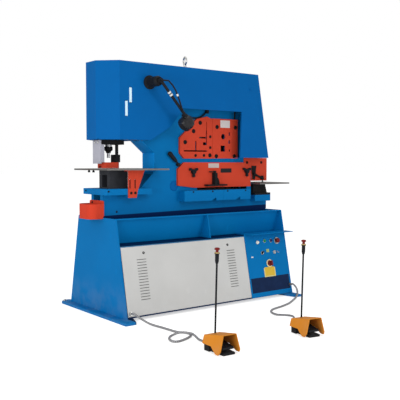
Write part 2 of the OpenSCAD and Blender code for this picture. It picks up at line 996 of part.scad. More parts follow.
module star_knob_right() {
    star_knob(knob_x[1], knob_z);
}

// Hold-down bracket in front of the flat-bar guard
module hold_down() {
    y0 = guard_y - 45;
    color(black)
        difference() {
            union() {
                translate([120, y0, 938])
                    cube([210, 45, 13]);
                translate([201, y0 + 4, 951])
                    cube([26, 41, 95]);
                slab(y0 + 26, 15)
                    difference() {
                        translate([227, 951])
                            scale([0.62, 1])
                                circle(64);
                        rect([120, 860], [227, 1030]);
                        rect([200, 860], [300, 951]);
                        translate([227, 951])
                            circle(22);
                    }
            }
            translate([hold_x, y0 + 24, 930])
                cylinder(r = hold_r + pivot_gap, h = 140);
        }
}

// Hold-down screw with its tommy bar
module hold_down_screw() {
    color(black)
        translate([hold_x, guard_y - 21, 0]) {
            translate([0, 0, 942])
                cylinder(r = hold_r, h = 118);
            translate([0, 0, 1047])
                cylinder(r = 13, h = 16);
            translate([0, 0, 1055])
                rotate([0, -90, 0])
                    cylinder(r = 4.5, h = 58);
        }
}

// Blade-release lever with a moulded grip
module blade_lever() {
    color(black)
        translate([-140, -frame_half - 15, 1114]) {
            rod_y(0, 0, -10, 14, 24.6);
            rotate([0, -135, 0]) {
                translate([10, -6, 0])
                    rotate([0, 90, 0])
                        cylinder(r = 7, h = 40);
                translate([38, -6, 0])
                    rotate([0, 90, 0])
                        cylinder(r1 = 14, r2 = 18, h = 84);
                translate([122, -6, 0])
                    sphere(18);
            }
        }
}

// ---- notcher ----

// Sketch of the hole for the notching blade, grown by the clearance
module notch_cut(z, h) {
    translate([notch_x - notch_len / 2 - notch_gap, -notch_w / 2 - notch_gap, z])
        cube([notch_len + 2 * notch_gap, notch_w + 2 * notch_gap, h]);
}

// Notching die on its base plate, and the bracket of the material stop
module notch_block() {
    color(black) {
        difference() {
            union() {
                translate([notch_wall + 1, -138, 850])
                    cube([185, 276, 18]);
                slab(-105, 210)
                    polygon([[notch_wall + 4, 868], [notch_wall + 174, 868],
                        [notch_wall + 166, 895], [notch_wall + 152, notch_z - notch_t],
                        [notch_wall + 14, notch_z - notch_t], [notch_wall + 12, 895]]);
            }
            notch_cut(840, 150);
        }
        slab(-frame_half - 14, 8)
            difference() {
                polygon([[650, 1103], [704, 1103], [688, 984], [664, 984]]);
                translate(stop_pivot)
                    circle(6 + pivot_gap);
            }
    }
}

// Work table of the notcher
module notch_table() {
    color(steel)
        difference() {
            translate([notch_wall + 4, -200, notch_z - notch_t])
                cube([356, 400, notch_t]);
            notch_cut(900, 100);
        }
}

module notch_guard_side() {
    polygon([[565, 1170.5], [834, 1170.5], [834, 972], [652, 972], [652, 1080], [634, 1083],
        [620, 1095], [567, 1135], [565, 1135]]);
}

// Guard around the notching blade
module notch_guard() {
    color(red) {
        slab(-frame_half - 6, 6)
            notch_guard_side();
        slab(frame_half, 6)
            notch_guard_side();
        translate([828, -frame_half, 972])
            cube([6, 2 * frame_half, 198.5]);
    }
}

// Swinging arm of the material stop
module notch_arm() {
    y0 = -frame_half - 26;
    color(black)
        difference() {
            union() {
                rod_y(stop_pivot.x, stop_pivot.y, y0, 12, 11.6);
                rod_y(stop_pivot.x, stop_pivot.y, y0 + 11.6, 6, 8);
                slab(y0, 10)
                    polygon([[673.3, 1024.5], [678.7, 1037.5], [770.7, 999.5], [765.3, 986.5]]);
                translate([stop_screw_x, y0 + 5, 984])
                    cylinder(r = 14, h = 18);
            }
            translate([stop_screw_x, y0 + 5, 970])
                cylinder(r = 5 + 2 * pivot_gap, h = 40);
        }
}

// Screw foot of the material stop
module notch_screw() {
    color(black)
        translate([stop_screw_x, -frame_half - 21, 0]) {
            translate([0, 0, notch_z + 3])
                cylinder(r = 10, h = 7);
            translate([0, 0, notch_z + 10])
                cylinder(r = 5, h = 48);
            translate([0, 0, notch_z + 51])
                cylinder(r = 11, h = 10);
        }
}

// ---- lamp ----

module lamp_turret() {
    color(black)
        translate([-lamp_x, -cover_half, lamp_z])
            rotate([90, 0, 0])
                rotate_extrude()
                    polygon([[0, 0], [52, 0], [52, 8], [44, 10], [38, 14], [38, 34], [34, 34],
                        [34, 38], [38, 38], [38, 54], [34, 54], [34, 58], [38, 58], [38, 74],
                        [34, 74], [34, 78], [38, 78], [38, 94], [34, 94], [34, 98], [38, 98],
                        [38, 118], [30, 134], [0, 134]]);
}

// Lamp arm with its hub, head fork and clipped lead
module lamp_arm() {
    y0 = -cover_half - 134;
    color(black) {
        translate([-lamp_x, 0, lamp_z])
            rotate([0, lamp_droop, 0]) {
                rod_y(0, 0, y0 - 30, 17, 29.5);
                translate([0, y0 - 19, 0])
                    rotate([0, 90, 0])
                        cylinder(r = 11, h = lamp_reach - 4);
                rod_y(lamp_reach, 0, y0 - 30, 14, 24);
            }
        swept_tube(route_lead, 6, 8, [0, 1, 0]);
    }
}

// Lamp head: a deep dome that opens towards the shear
module lamp_head() {
    hx = -lamp_x + lamp_reach * cos(lamp_droop);
    hz = lamp_z - lamp_reach * sin(lamp_droop);
    color(black)
        translate([hx, -cover_half - 139.6, hz]) {
            rod_y(0, 0, 0.4, 16, 14);
            translate([0, 12, 0])
                rotate([0, 129, 0])
                    cylinder(r = 10, h = 40);
            translate([49, 20, -41])
                rotate([-118, 0, 0])
                    rotate_extrude()
                        polygon([[0, -34], [20, -34], [40, -26], [52, -12], [lamp_r, 8],
                            [lamp_r, 50], [lamp_r - 4, 50], [lamp_r - 4, 10], [48, -8],
                            [0, -8]]);
        }
}

// Black hose between two clamps on the frame
module hose_loop() {
    color(black) {
        swept_tube(route_hose, 6, 8, [0, 1, 0]);
        translate([-80, -frame_half - 18, 1500])
            cube([14, 18, 22]);
        translate([141, -frame_half - 22, 1533])
            cube([24, 22, 28]);
        translate([458, -frame_half - 5, 1498])
            cylinder(r = 5, h = 102);
    }
}

// ---- controls ----

// Blue operator panel with a guard shelf above the buttons
module control_panel() {
    color(blue) {
        on_slope()
            translate([0, 0, -panel_t])
                difference() {
                    linear_extrude(height = panel_t)
                        rect([366, foot_t + 6], [818, (recess_z + 5) / cos(lean)]);
                    for (p = [[583, 482], [656, 480], [542, 384], [682, 380]])
                        translate([p.x, p.y, -1])
                            cylinder(r = button_r + button_gap, h = panel_t + 2);
                    for (p = [[501, 475], [724, 476], [608, 292]])
                        translate([p.x, p.y, -1])
                            cylinder(r = 9 + button_gap, h = panel_t + 2);
                    translate([gland_right.x, gland_right.y, -1])
                        cylinder(r = gland_r - 3, h = panel_t + 2);
                }
        translate([372, -408, recess_z + 5 + weld_gap])
            cube([473, 408 - slope_y(recess_z + 5) - 0.5, 5]);
        translate([372, -408, recess_z + 5 + weld_gap])
            cube([inner - 372, 408 - slope_y(recess_z) + 30, 5]);
    }
}

module pilot_lamp() {
    color(white)
        on_slope()
            translate([501, 475, 0]) {
                translate([0, 0, -30])
                    cylinder(r = 9, h = 30);
                cylinder(r = 14, h = 6);
                translate([0, 0, 6])
                    cylinder(r1 = 12, r2 = 9, h = 10);
            }
}

module push_button(x, s, tint) {
    color(tint)
        on_slope()
            translate([x, s, -20])
                cylinder(r = button_r, h = 20 + button_stroke + 6);
}

module start_button() {
    push_button(583, 482, [0.1, 0.5, 0.25]);
}

module reset_button() {
    push_button(656, 480, [0.15, 0.2, 0.5]);
}

// Mushroom stop button of height h standing on a stem
module mushroom(r, stem, h, tint) {
    color(tint)
        rotate_extrude()
            polygon([[0, -stem], [9, -stem], [9, h - 15], [r - 4, h - 15], [r, h - 12],
                [r, h - 7], [r - 4, h - 2], [0, h]]);
}

module emergency_button() {
    on_slope()
        translate([724, 476, 0])
            mushroom(stop_r, 20, 27, red);
}

module selector() {
    color(black)
        on_slope()
            translate([542, 384, 0]) {
                translate([0, 0, -20])
                    cylinder(r = button_r, h = 28);
                rotate([0, 0, 50])
                    translate([-13, -4, 8])
                        cube([26, 8, 10]);
            }
}

// Key switch with its key
module key_switch() {
    color(steel)
        on_slope()
            translate([682, 380, 0]) {
                translate([0, 0, -20])
                    cylinder(r = button_r, h = 28);
                rotate([0, 0, 50]) {
                    translate([-1.5, -5, 8])
                        cube([3, 10, 22]);
                    translate([-1.5, -12, 28])
                        cube([3, 24, 18]);
                }
            }
}

// Main switch: red rotary handle
module main_switch() {
    color(red)
        on_slope()
            translate([608, 292, 0]) {
                translate([0, 0, -20])
                    cylinder(r = 9, h = 24);
                translate([0, 0, 4])
                    cylinder(r1 = 24, r2 = 21, h = 14);
                translate([-7, -21, 18])
                    cube([14, 42, 18]);
            }
}

// ---- foot switches ----

module at_pedal(p, turn) {
    translate([p.x, p.y, 0])
        rotate([0, 0, turn])
            children();
}

// Cast base with a raised rear block and two ears for the treadle
module pedal_base() {
    color(black) {
        slice(-pedal_w / 2, pedal_w)
            polygon([[pedal_back - 1, 0], [pedal_back - 1, pedal_h], [34, pedal_h],
                [22, 20], [22, 0]]);
        slice(-42, 84)
            polygon([[23, 0], [23, 20], [-pedal_len / 2 + 6, 14], [-pedal_len / 2 + 6, 0]]);
        for (x = [-50, 44])
            slice(x, 6)
                difference() {
                    polygon([[16, 10], [40, 10], [40, pedal_h + 2], [34, pedal_h + 14],
                        [18, pedal_h + 14], [14, pedal_h]]);
                    translate([26, pedal_h + 7])
                        circle(4 + pivot_gap);
                }
    }
}

module hood_section(t) {
    polygon([[-hood_w / 2 + t, -5 * t], [-hood_top_w / 2 + t, hood_h - t],
        [hood_top_w / 2 - t, hood_h - t], [hood_w / 2 - t, -5 * t]]);
}

module hood_side() {
    difference() {
        polygon([[pedal_back, pedal_h - 6], [pedal_back, hood_back_h], [-pedal_len / 2, hood_h],
            [-pedal_len / 2 - 2, 30], [-pedal_len / 2 + 10, 9], [-pedal_len / 2 + 36, 9],
            [-28, pedal_h - 14], [-18, pedal_h - 6]]);
    }
}

module hood_core() {
    polygon([[pedal_back - hood_t, 0], [pedal_back - hood_t, hood_back_h - hood_t],
        [-pedal_len / 2, hood_h - hood_t], [-pedal_len / 2 - 10, 100],
        [-pedal_len / 2 - 10, 0]]);
}

// Yellow hood, open at the front and below
module pedal_hood() {
    color(amber)
        difference() {
            intersection() {
                slab(-pedal_len, 2 * pedal_len)
                    hood_section(0);
                slice(-hood_w, 2 * hood_w)
                    hood_side();
            }
            intersection() {
                slab(-pedal_len, 2 * pedal_len)
                    hood_section(hood_t);
                slice(-hood_w, 2 * hood_w)
                    hood_core();
            }
            slab(-pedal_len, 2 * pedal_len)
                rect([-pedal_w / 2, 0], [pedal_w / 2, pedal_h]);
            translate([pole_at.x, pole_at.y, pedal_h])
                cylinder(r = pole_r + 2.5, h = 100);
        }
}

// Ribbed treadle, hinged at the rear block
module treadle() {
    color(black)
        difference() {
            union() {
                slice(-40, 80)
                    polygon([[33, pedal_h + 2], [33, pedal_h + 13], [-20, pedal_h + 8],
                        [-92, 44], [-96, 34], [-90, 30], [-20, pedal_h - 4],
                        [20, pedal_h + 2]]);
                slice(-50, 100)
                    translate([26, pedal_h + 7])
                        circle(4);
            }
            for (y = [-80, -66, -52, -38])
                translate([-34, y, 46 + (y + 80) * 0.14])
                    cube([68, 5, 20]);
        }
}

// Pole with a hand grip at its head
module pole() {
    color(black)
        translate([pole_at.x, pole_at.y, pedal_h + 0.2])
            rotate([0, pole_lean, 0]) {
                cylinder(r = pole_r, h = pole_h - pedal_h - 50);
                translate([0, 0, pole_h - pedal_h - 62])
                    cylinder(r1 = 8, r2 = 12, h = 16);
                difference() {
                    translate([0, 0, pole_h - pedal_h - 46])
                        cylinder(r = 12, h = 42);
                    translate([0, 0, pole_h - pedal_h - 24])
                        cylinder(r = 9 + button_gap, h = 30);
                }
                translate([0, 0, pole_h - pedal_h - 4])
                    difference() {
                        cylinder(r = 16, h = 4);
                        translate([0, 0, -1])
                            cylinder(r = 9 + button_gap, h = 6);
                    }
            }
}

// Mushroom stop button on the pole
module pole_stop() {
    translate([pole_at.x, pole_at.y, pedal_h + 0.2])
        rotate([0, pole_lean, 0])
            translate([0, 0, pole_h - pedal_h])
                mushroom(17, 18, 36, red);
}

module pedal_base_left() {
    at_pedal(pedal_left, pedal_left_turn)
        pedal_base();
}

module pedal_hood_left() {
    at_pedal(pedal_left, pedal_left_turn)
        pedal_hood();
}

module treadle_left() {
    at_pedal(pedal_left, pedal_left_turn)
        treadle();
}

module pole_left() {
    at_pedal(pedal_left, pedal_left_turn)
        pole();
}

module pole_stop_left() {
    at_pedal(pedal_left, pedal_left_turn)
        pole_stop();
}

module pedal_base_right() {
    at_pedal(pedal_right, pedal_right_turn)
        pedal_base();
}

module pedal_hood_right() {
    at_pedal(pedal_right, pedal_right_turn)
        pedal_hood();
}

module treadle_right() {
    at_pedal(pedal_right, pedal_right_turn)
        treadle();
}

module pole_right() {
    at_pedal(pedal_right, pedal_right_turn)
        pole();
}

module pole_stop_right() {
    at_pedal(pedal_right, pedal_right_turn)
        pole_stop();
}

module gland_body() {
    cylinder(r = gland_r, h = gland_len - 6);
    translate([0, 0, gland_len - 6])
        cylinder(r = gland_r - 2, h = 6);
}

// Cable glands at both ends of the conduits
module glands() {
    color(steel) {
        for (p = [gland_left, gland_right])
            on_slope()
                translate([p.x, p.y, 0])
                    gland_body();
        at_pedal(pedal_left, pedal_left_turn)
            translate([-25, pedal_back, 28])
                rotate([-90, 0, 0])
                    gland_body();
        at_pedal(pedal_right, pedal_right_turn)
            translate([20, pedal_back, 28])
                rotate([-90, 0, 0])
                    gland_body();
    }
}

module conduit_left() {
    color(steel)
        swept_tube(route_left, conduit_r, 8, [0, 0, 1]);
}

module conduit_right() {
    color(steel)
        swept_tube(route_right, conduit_r, 8, [0, 0, 1]);
}

base_frame();
frame_plates();
frame_beds();
top_cover();
lifting_eye();
head_plate();
ram_guide();
ram();
punch_nut();
punch();
stripper_legs();
stripper_foot();
die_block();
die();
punch_table();
table_bracket();
fasteners();
slug_bin();
pivot_pin();
shear_beam();
fixed_blades();
angle_guard();
bar_guard();
flat_guard();
star_knob_left();
star_knob_right();
hold_down();
hold_down_screw();
blade_lever();
notch_block();
notch_table();
notch_guard();
notch_arm();
notch_screw();
lamp_turret();
lamp_arm();
lamp_head();
hose_loop();
control_panel();
pilot_lamp();
start_button();
reset_button();
emergency_button();
selector();
key_switch();
main_switch();
service_panel();
pedal_base_left();
pedal_hood_left();
treadle_left();
pole_left();
pole_stop_left();
pedal_base_right();
pedal_hood_right();
treadle_right();
pole_right();
pole_stop_right();
glands();
conduit_left();
conduit_right();
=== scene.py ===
"""Studio model of a hydraulic ironworker with two foot switches."""
import json
import logging
import math
from dataclasses import dataclass
from enum import Enum
from typing import Callable, Protocol, Sequence, Union

import bmesh
import bpy
from mathutils import Euler, Matrix, Vector


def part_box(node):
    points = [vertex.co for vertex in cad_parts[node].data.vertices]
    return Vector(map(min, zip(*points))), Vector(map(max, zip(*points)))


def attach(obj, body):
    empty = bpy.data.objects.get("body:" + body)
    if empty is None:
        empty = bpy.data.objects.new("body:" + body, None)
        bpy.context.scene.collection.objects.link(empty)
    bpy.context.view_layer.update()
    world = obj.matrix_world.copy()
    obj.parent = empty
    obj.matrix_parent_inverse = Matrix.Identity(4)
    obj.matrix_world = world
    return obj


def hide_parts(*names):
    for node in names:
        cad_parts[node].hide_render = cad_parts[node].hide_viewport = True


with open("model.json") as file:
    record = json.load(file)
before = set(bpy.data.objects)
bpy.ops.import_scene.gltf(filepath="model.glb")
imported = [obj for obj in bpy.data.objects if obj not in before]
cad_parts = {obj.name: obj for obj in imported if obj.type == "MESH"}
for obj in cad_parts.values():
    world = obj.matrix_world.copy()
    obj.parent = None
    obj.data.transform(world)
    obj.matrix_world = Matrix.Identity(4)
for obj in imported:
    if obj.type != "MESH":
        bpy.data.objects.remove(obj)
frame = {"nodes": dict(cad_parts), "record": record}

LOG = logging.getLogger("ironworker")
MM = 0.001
Number = Union[int, float]
Pair = tuple[float, float]
Colour = tuple[float, float, float]
Point = tuple[float, float, float]
Verts = Sequence[bmesh.types.BMVert]
NODES: dict[str, bpy.types.Object] = frame["nodes"]
MACHINE = "machine"
# Name of the hose attribute that is 1 on a ridge
CREST = "crest"


class Facing(Enum):
    """Ways a flat fitting may look."""

    FRONT = "front"
    LEFT = "left"
    SLOPE = "slope"
    UP = "up"


class Grain(Enum):
    """Direction of the grinding marks on a steel face."""

    ALONG_X = (3.0, 160.0, 160.0)
    ALONG_Y = (160.0, 3.0, 160.0)


# ---- node trees ---------------------------------------------------------------------------

# Sockets of a Mix node that mixes colours
MIX_FACTOR = 0
MIX_FIRST = 6
MIX_SECOND = 7
MIX_RESULT = 2


class Wire:
    """An output socket that takes part in Python arithmetic."""

    def __init__(self, sheet: "Sheet", socket: bpy.types.NodeSocket) -> None:
        """Keeps the sheet the socket belongs to.

        Args:
            sheet: the tree helper that adds the maths nodes.
            socket: the output socket.
        """
        self.sheet = sheet
        self.socket = socket

    def _math(self, operation: str, first: "Value", second: "Value") -> "Wire":
        """Adds one Math node.

        Args:
            operation: the node's operation.
            first: the first operand.
            second: the second operand.

        Returns:
            The result.
        """
        return self.sheet.node("ShaderNodeMath", {"operation": operation}, {0: first, 1: second})

    def __add__(self, other: "Value") -> "Wire":
        """Sum."""
        return self._math("ADD", self, other)

    def __radd__(self, other: "Value") -> "Wire":
        """Sum with a number on the left."""
        return self._math("ADD", other, self)

    def __sub__(self, other: "Value") -> "Wire":
        """Difference."""
        return self._math("SUBTRACT", self, other)

    def __rsub__(self, other: "Value") -> "Wire":
        """Difference with a number on the left."""
        return self._math("SUBTRACT", other, self)

    def __mul__(self, other: "Value") -> "Wire":
        """Product."""
        return self._math("MULTIPLY", self, other)

    def __rmul__(self, other: "Value") -> "Wire":
        """Product with a number on the left."""
        return self._math("MULTIPLY", other, self)

    def __gt__(self, other: "Value") -> "Wire":
        """1 where this value is greater, else 0."""
        return self._math("GREATER_THAN", self, other)

    def __lt__(self, other: "Value") -> "Wire":
        """1 where this value is less, else 0."""
        return self._math("LESS_THAN", self, other)

    def __mod__(self, other: "Value") -> "Wire":
        """Remainder."""
        return self._math("FLOORED_MODULO", self, other)

    def __rmod__(self, other: "Value") -> "Wire":
        """Remainder with a number on the left."""
        return self._math("FLOORED_MODULO", other, self)

    def fade(self, low: Number, high: Number) -> "Wire":
        """Smooth step from 0 at low to 1 at high.

        Args:
            low: value that gives 0.
            high: value that gives 1.

        Returns:
            The faded mask.
        """
        return self.sheet.node(
            "ShaderNodeMapRange",
            {"interpolation_type": "SMOOTHSTEP"},
            {"Value": self, "From Min": low, "From Max": high},
        )


Value = Union[Wire, int, float]


class Sheet:
    """Adds and wires the nodes of one tree."""

    def __init__(self, tree: bpy.types.NodeTree) -> None:
        """Starts from an empty tree.

        Args:
            tree: the tree to fill.
        """
        self.tree = tree
        tree.nodes.clear()

    def add(
        self, kind: str, settings: dict | None = None, inputs: dict | None = None
    ) -> bpy.types.Node:
        """Makes one node, sets it and feeds it.

        Args:
            kind: the node's type.
            settings: attributes that are set first.
            inputs: values, sockets or wires by socket name or number.

        Returns:
            The node.
        """
        made = self.tree.nodes.new(kind)
        for name, value in (settings or {}).items():
            setattr(made, name, value)
        for name, value in (inputs or {}).items():
            self.feed(made.inputs[name], value)
        return made

    def node(
        self,
        kind: str,
        settings: dict | None = None,
        inputs: dict | None = None,
        out: int | str = 0,
    ) -> Wire:
        """Makes one node and returns one of its outputs.

        Args:
            kind: the node's type.
            settings: attributes that are set first.
            inputs: values, sockets or wires by socket name or number.
            out: name or number of the output.

        Returns:
            The output as a wire.
        """
        return Wire(self, self.add(kind, settings, inputs).outputs[out])

    def feed(self, socket: bpy.types.NodeSocket, value: object) -> None:
        """Links a wire or a socket to an input, or sets the input's own value.

        Args:
            socket: the input.
            value: wire, output socket or plain value.
        """
        if isinstance(value, Wire):
            self.tree.links.new(value.socket, socket)
        elif isinstance(value, bpy.types.NodeSocket):
            self.tree.links.new(value, socket)
        else:
            socket.default_value = value


class PaintSheet(Sheet):
    """The shader tree of one material."""

    def __init__(self, name: str) -> None:
        """Makes the material with its surface shader.

        Args:
            name: the material's name.
        """
        self.material = bpy.data.materials.new(name)
        self.material.use_nodes = True
        super().__init__(self.material.node_tree)
        self.surface = self.add("ShaderNodeBsdfPrincipled")
        self.add("ShaderNodeOutputMaterial", {}, {"Surface": self.surface.outputs[0]})
        self.place = self.node("ShaderNodeTexCoord", out="Object")

    def axis(self, name: str) -> Wire:
        """One coordinate of the surface, in metres."""
        return self.node("ShaderNodeSeparateXYZ", {}, {0: self.place}, out=name)

    def stretched(self, scale: Point) -> Wire:
        """The place multiplied by a factor along X, Y and Z."""
        return self.node("ShaderNodeMapping", {}, {"Vector": self.place, "Scale": scale})

    def noise(self, scale: float, detail: float, where: Wire | None = None) -> Wire:
        """Soft random field from 0 to 1.

        Args:
            scale: spots per metre.
            detail: octaves.
            where: coordinates, the surface's own if left out.

        Returns:
            The field.
        """
        inputs = {"Vector": where or self.place, "Scale": scale, "Detail": detail}
        return self.node("ShaderNodeTexNoise", {}, inputs)

    def blend(self, factor: Value, first: object, second: object) -> Wire:
        """Mixes two colours.

        Args:
            factor: 0 gives the first colour, 1 the second.
            first: colour or wire.
            second: colour or wire.

        Returns:
            The mixed colour.
        """
        inputs = {MIX_FACTOR: factor, MIX_FIRST: solid(first), MIX_SECOND: solid(second)}
        return self.node("ShaderNodeMix", {"data_type": "RGBA"}, inputs, out=MIX_RESULT)

    def mottled(self, colour: Colour, mask: Wire, dark: float, light: float) -> Wire:
        """A colour that goes from dark to light with a mask.

        Args:
            colour: the mean colour.
            mask: 0 where it is darkest, 1 where it is lightest.
            dark: factor of the darkest part.
            light: factor of the lightest part.

        Returns:
            The mottled colour.
        """
        return self.blend(mask, tint(colour, dark), tint(colour, light))

    def bump(self, height: Wire, depth: float, strength: float) -> Wire:
        """Surface normal disturbed by a height field.

        Args:
            height: the field.
            depth: height of 1 in metres.
            strength: how much of it shows.

        Returns:
            The normal.
        """
        inputs = {"Height": height, "Distance": depth, "Strength": strength}
        return self.node("ShaderNodeBump", {}, inputs)

    def dress(self, **inputs: object) -> bpy.types.Material:
        """Feeds the surface shader.

        Args:
            **inputs: socket names with underscores for spaces, and their values.

        Returns:
            The finished material.
        """
        for name, value in inputs.items():
            self.feed(self.surface.inputs[name.replace("_", " ")], value)
        return self.material


def solid(colour: object) -> object:
    """Gives a plain colour its fourth value.

    Args:
        colour: colour of three or four values, or a wire.

    Returns:
        The colour with four values, or the wire.
    """
    if isinstance(colour, tuple) and len(colour) == 3:
        return (*colour, 1.0)
    return colour


def tint(colour: Colour, factor: float) -> Colour:
    """A lighter or darker version of a colour."""
    return tuple(min(1.0, part * factor) for part in colour)


# ---- finishes -----------------------------------------------------------------------------

# Strength of the reflection of paint, oxide and plastic
GLOSS = 0.05
# Dirt and wear
DUST = (0.34, 0.31, 0.27)
OIL = (0.2, 0.17, 0.14)
WORN_STEEL = (0.10, 0.095, 0.09)
GRIT = (0.42, 0.39, 0.35)
# Plain colours
OFF_WHITE = (0.7, 0.7, 0.68)
BLACK = (0.0, 0.0, 0.0)
WHITE = (1.0, 1.0, 1.0)
# Orange peel of sprayed paint: depth in metres, spots per metre and strength
PEEL = 0.0002
PEEL_SCALE = 420.0
PEEL_STRENGTH = 0.35


class Finish(Protocol):
    """What every finish has.

    Attributes:
        name: name of its material.
    """

    name: str

    def build(self) -> bpy.types.Material:
        """Makes the material."""


@dataclass(frozen=True)
class Enamel:
    """Sprayed machine enamel with shop dust and faint rub marks.

    Attributes:
        name: material name.
        colour: paint colour.
        roughness: roughness of a clean face.
        dust: how much dust lies near the floor.
        rub: strength of the rub marks.
        peel: depth of the orange peel in metres.
        dusty: height in metres up to which dust lies.
    """

    name: str
    colour: Colour
    roughness: float = 0.5
    dust: float = 0.12
    rub: float = 0.2
    peel: float = PEEL
    dusty: float = 0.32

    def build(self) -> bpy.types.Material:
        """Makes the material.

        Returns:
            The material.
        """
        sheet = PaintSheet(self.name)
        cloud = sheet.noise(scale=2.4, detail=4.0)
        colour = sheet.mottled(self.colour, cloud, dark=0.86, light=1.12)
        upright = sheet.stretched((1.0, 1.0, 0.35))
        scuffs = sheet.noise(scale=26.0, detail=6.0, where=upright)
        rubbed = scuffs.fade(low=0.62, high=0.78) * self.rub
        colour = sheet.blend(rubbed, colour, tint(self.colour, 1.5))
        low = 1.0 - sheet.axis("Z").fade(low=0.0, high=self.dusty)
        dust = low * sheet.noise(scale=9.0, detail=5.0).fade(low=0.35, high=0.7) * self.dust
        colour = sheet.blend(dust, colour, DUST)
        roughness = self.roughness + cloud * 0.1 + rubbed * 0.3 + dust * 0.5
        normal = sheet.bump(sheet.noise(scale=PEEL_SCALE, detail=1.0), self.peel, PEEL_STRENGTH)
        colour = self.shade(sheet, colour)
        return sheet.dress(
            Base_Color=colour, Roughness=roughness, Normal=normal, Specular_IOR_Level=GLOSS
        )

    def shade(self, sheet: PaintSheet, colour: Wire) -> Wire:
        """Colours parts of the paint; plain enamel stays as it is."""
        return colour


@dataclass(frozen=True)
class TroughEnamel(Enamel):
    """Enamel with painted shadow in the trough and the passages, and painted light in the throat.

    Attributes:
        line: height where the painted shadow of the trough ends at the middle of the machine.
        climb: rise of that line along X.
        blur: half width of the line.
        trough_shadow: colour of the painted shadow in the trough.
        passages: low and high corner of the stock passages, inside the faces of the plates.
        passage_shade: colour of the walls of the passages, painted shade.
        throat: low and high corner of the throat, inside the faces of the plates.
        throat_light: colour of the walls of the throat, painted light.
    """

    line: float = 0.7475
    climb: float = 0.0155
    blur: float = 0.003
    trough_shadow: Colour = (0.0, 0.014, 0.075)
    passages: tuple[Point, Point] = ((-0.10, -0.0848, 0.89), (0.62, 0.0848, 1.50))
    passage_shade: Colour = (0.006, 0.006, 0.008)
    throat: tuple[Point, Point] = ((-0.50, -0.0848, 1.04), (-0.20, 0.0848, 1.32))
    throat_light: Colour = (0.0, 0.29, 0.80)

    def shade(self, sheet: PaintSheet, colour: Wire) -> Wire:
        """Paints shadow on the foot, shade in the passages and light in the throat.

        Args:
            sheet: material in the making.
            colour: its colour so far.

        Returns:
            The new colour.
        """
        height = sheet.axis("Z") - sheet.axis("X") * self.climb
        # Painted shadow in the trough: dark below a line that climbs along X
        foot = 1.0 - height.fade(low=self.line - self.blur, high=self.line + self.blur)
        colour = sheet.blend(foot, colour, self.trough_shadow)
        # Painted shade on the walls of the stock passages
        colour = sheet.blend(self._within(sheet, self.passages), colour, self.passage_shade)
        # Painted light on the walls of the throat
        return sheet.blend(self._within(sheet, self.throat), colour, self.throat_light)

    @staticmethod
    def _within(sheet: PaintSheet, corners: tuple[Point, Point]) -> Wire:
        """1 inside a box and 0 outside it.

        Args:
            sheet: material in the making.
            corners: low and high corner of the box.

        Returns:
            The mask.
        """
        mask: Value = 1.0
        for axis, low, high in zip("XYZ", *corners):
            place = sheet.axis(axis)
            mask = mask * (place > low) * (place < high)
        return mask


@dataclass(frozen=True)
class SkirtEnamel(Enamel):
    """Cabinet enamel with painted shade along its front edge at the floor, under the service panel.

    Attributes:
        run: X from end to end of the dark edge.
        top: height where it ends.
        front: Y where it ends towards the back.
        edge: colour of the painted shade along the edge.
    """

    run: Pair = (-0.82, 0.375)
    top: float = 0.075
    front: float = -0.375
    edge: Colour = (0.004, 0.020, 0.070)

    def shade(self, sheet: PaintSheet, colour: Wire) -> Wire:
        """Paints the shade along the edge.

        Args:
            sheet: material in the making.
            colour: its colour so far.

        Returns:
            The new colour.
        """
        along = sheet.axis("X")
        mask = (along > self.run[0]) * (along < self.run[1])
        mask = mask * (sheet.axis("Y") < self.front) * (sheet.axis("Z") < self.top)
        # Painted shade along the front edge at the floor
        return sheet.blend(mask, colour, self.edge)


@dataclass(frozen=True)
class GroundSteel:
    """Ground tool steel with oil stains.

    Attributes:
        name: material name.
        colour: colour of the bare metal.
        grain: direction of the grinding marks.
        roughness: mean roughness.
    """

    name: str
    colour: Colour = (0.50, 0.51, 0.53)
    grain: Grain = Grain.ALONG_X
    roughness: float = 0.34

    def build(self) -> bpy.types.Material:
        """Makes the material.

        Returns:
            The material.
        """
        sheet = PaintSheet(self.name)
        marks = sheet.noise(scale=6.0, detail=3.0, where=sheet.stretched(self.grain.value))
        stain = sheet.noise(scale=7.0, detail=5.0).fade(low=0.45, high=0.75)
        colour = sheet.mottled(self.colour, marks, dark=0.8, light=1.2)
        colour = sheet.blend(stain * 0.4, colour, OIL)
        roughness = self.roughness + marks * 0.14 + stain * 0.12
        normal = sheet.bump(marks, depth=0.0003, strength=0.3)
        return sheet.dress(Base_Color=colour, Roughness=roughness, Normal=normal, Metallic=0.9)


@dataclass(frozen=True)
class BlackOxide:
    """Blackened steel or cast iron.

    Attributes:
        name: material name.
        colour: mean colour.
        roughness: mean roughness.
        cast: depth of the casting grain in metres.
    """

    name: str
    colour: Colour = (0.011, 0.011, 0.012)
    roughness: float = 0.5
    cast: float = 0.0004

    def build(self) -> bpy.types.Material:
        """Makes the material.

        Returns:
            The material.
        """
        sheet = PaintSheet(self.name)
        cloud = sheet.noise(scale=14.0, detail=5.0)
        worn = sheet.noise(scale=55.0, detail=5.0).fade(low=0.6, high=0.8)
        colour = sheet.mottled(self.colour, cloud, dark=0.6, light=1.6)
        colour = sheet.blend(worn * 0.2, colour, WORN_STEEL)
        normal = sheet.bump(sheet.noise(scale=240.0, detail=3.0), self.cast, strength=0.4)
        roughness = self.roughness + cloud * 0.15
        return sheet.dress(
            Base_Color=colour, Roughness=roughness, Normal=normal, Specular_IOR_Level=GLOSS
        )


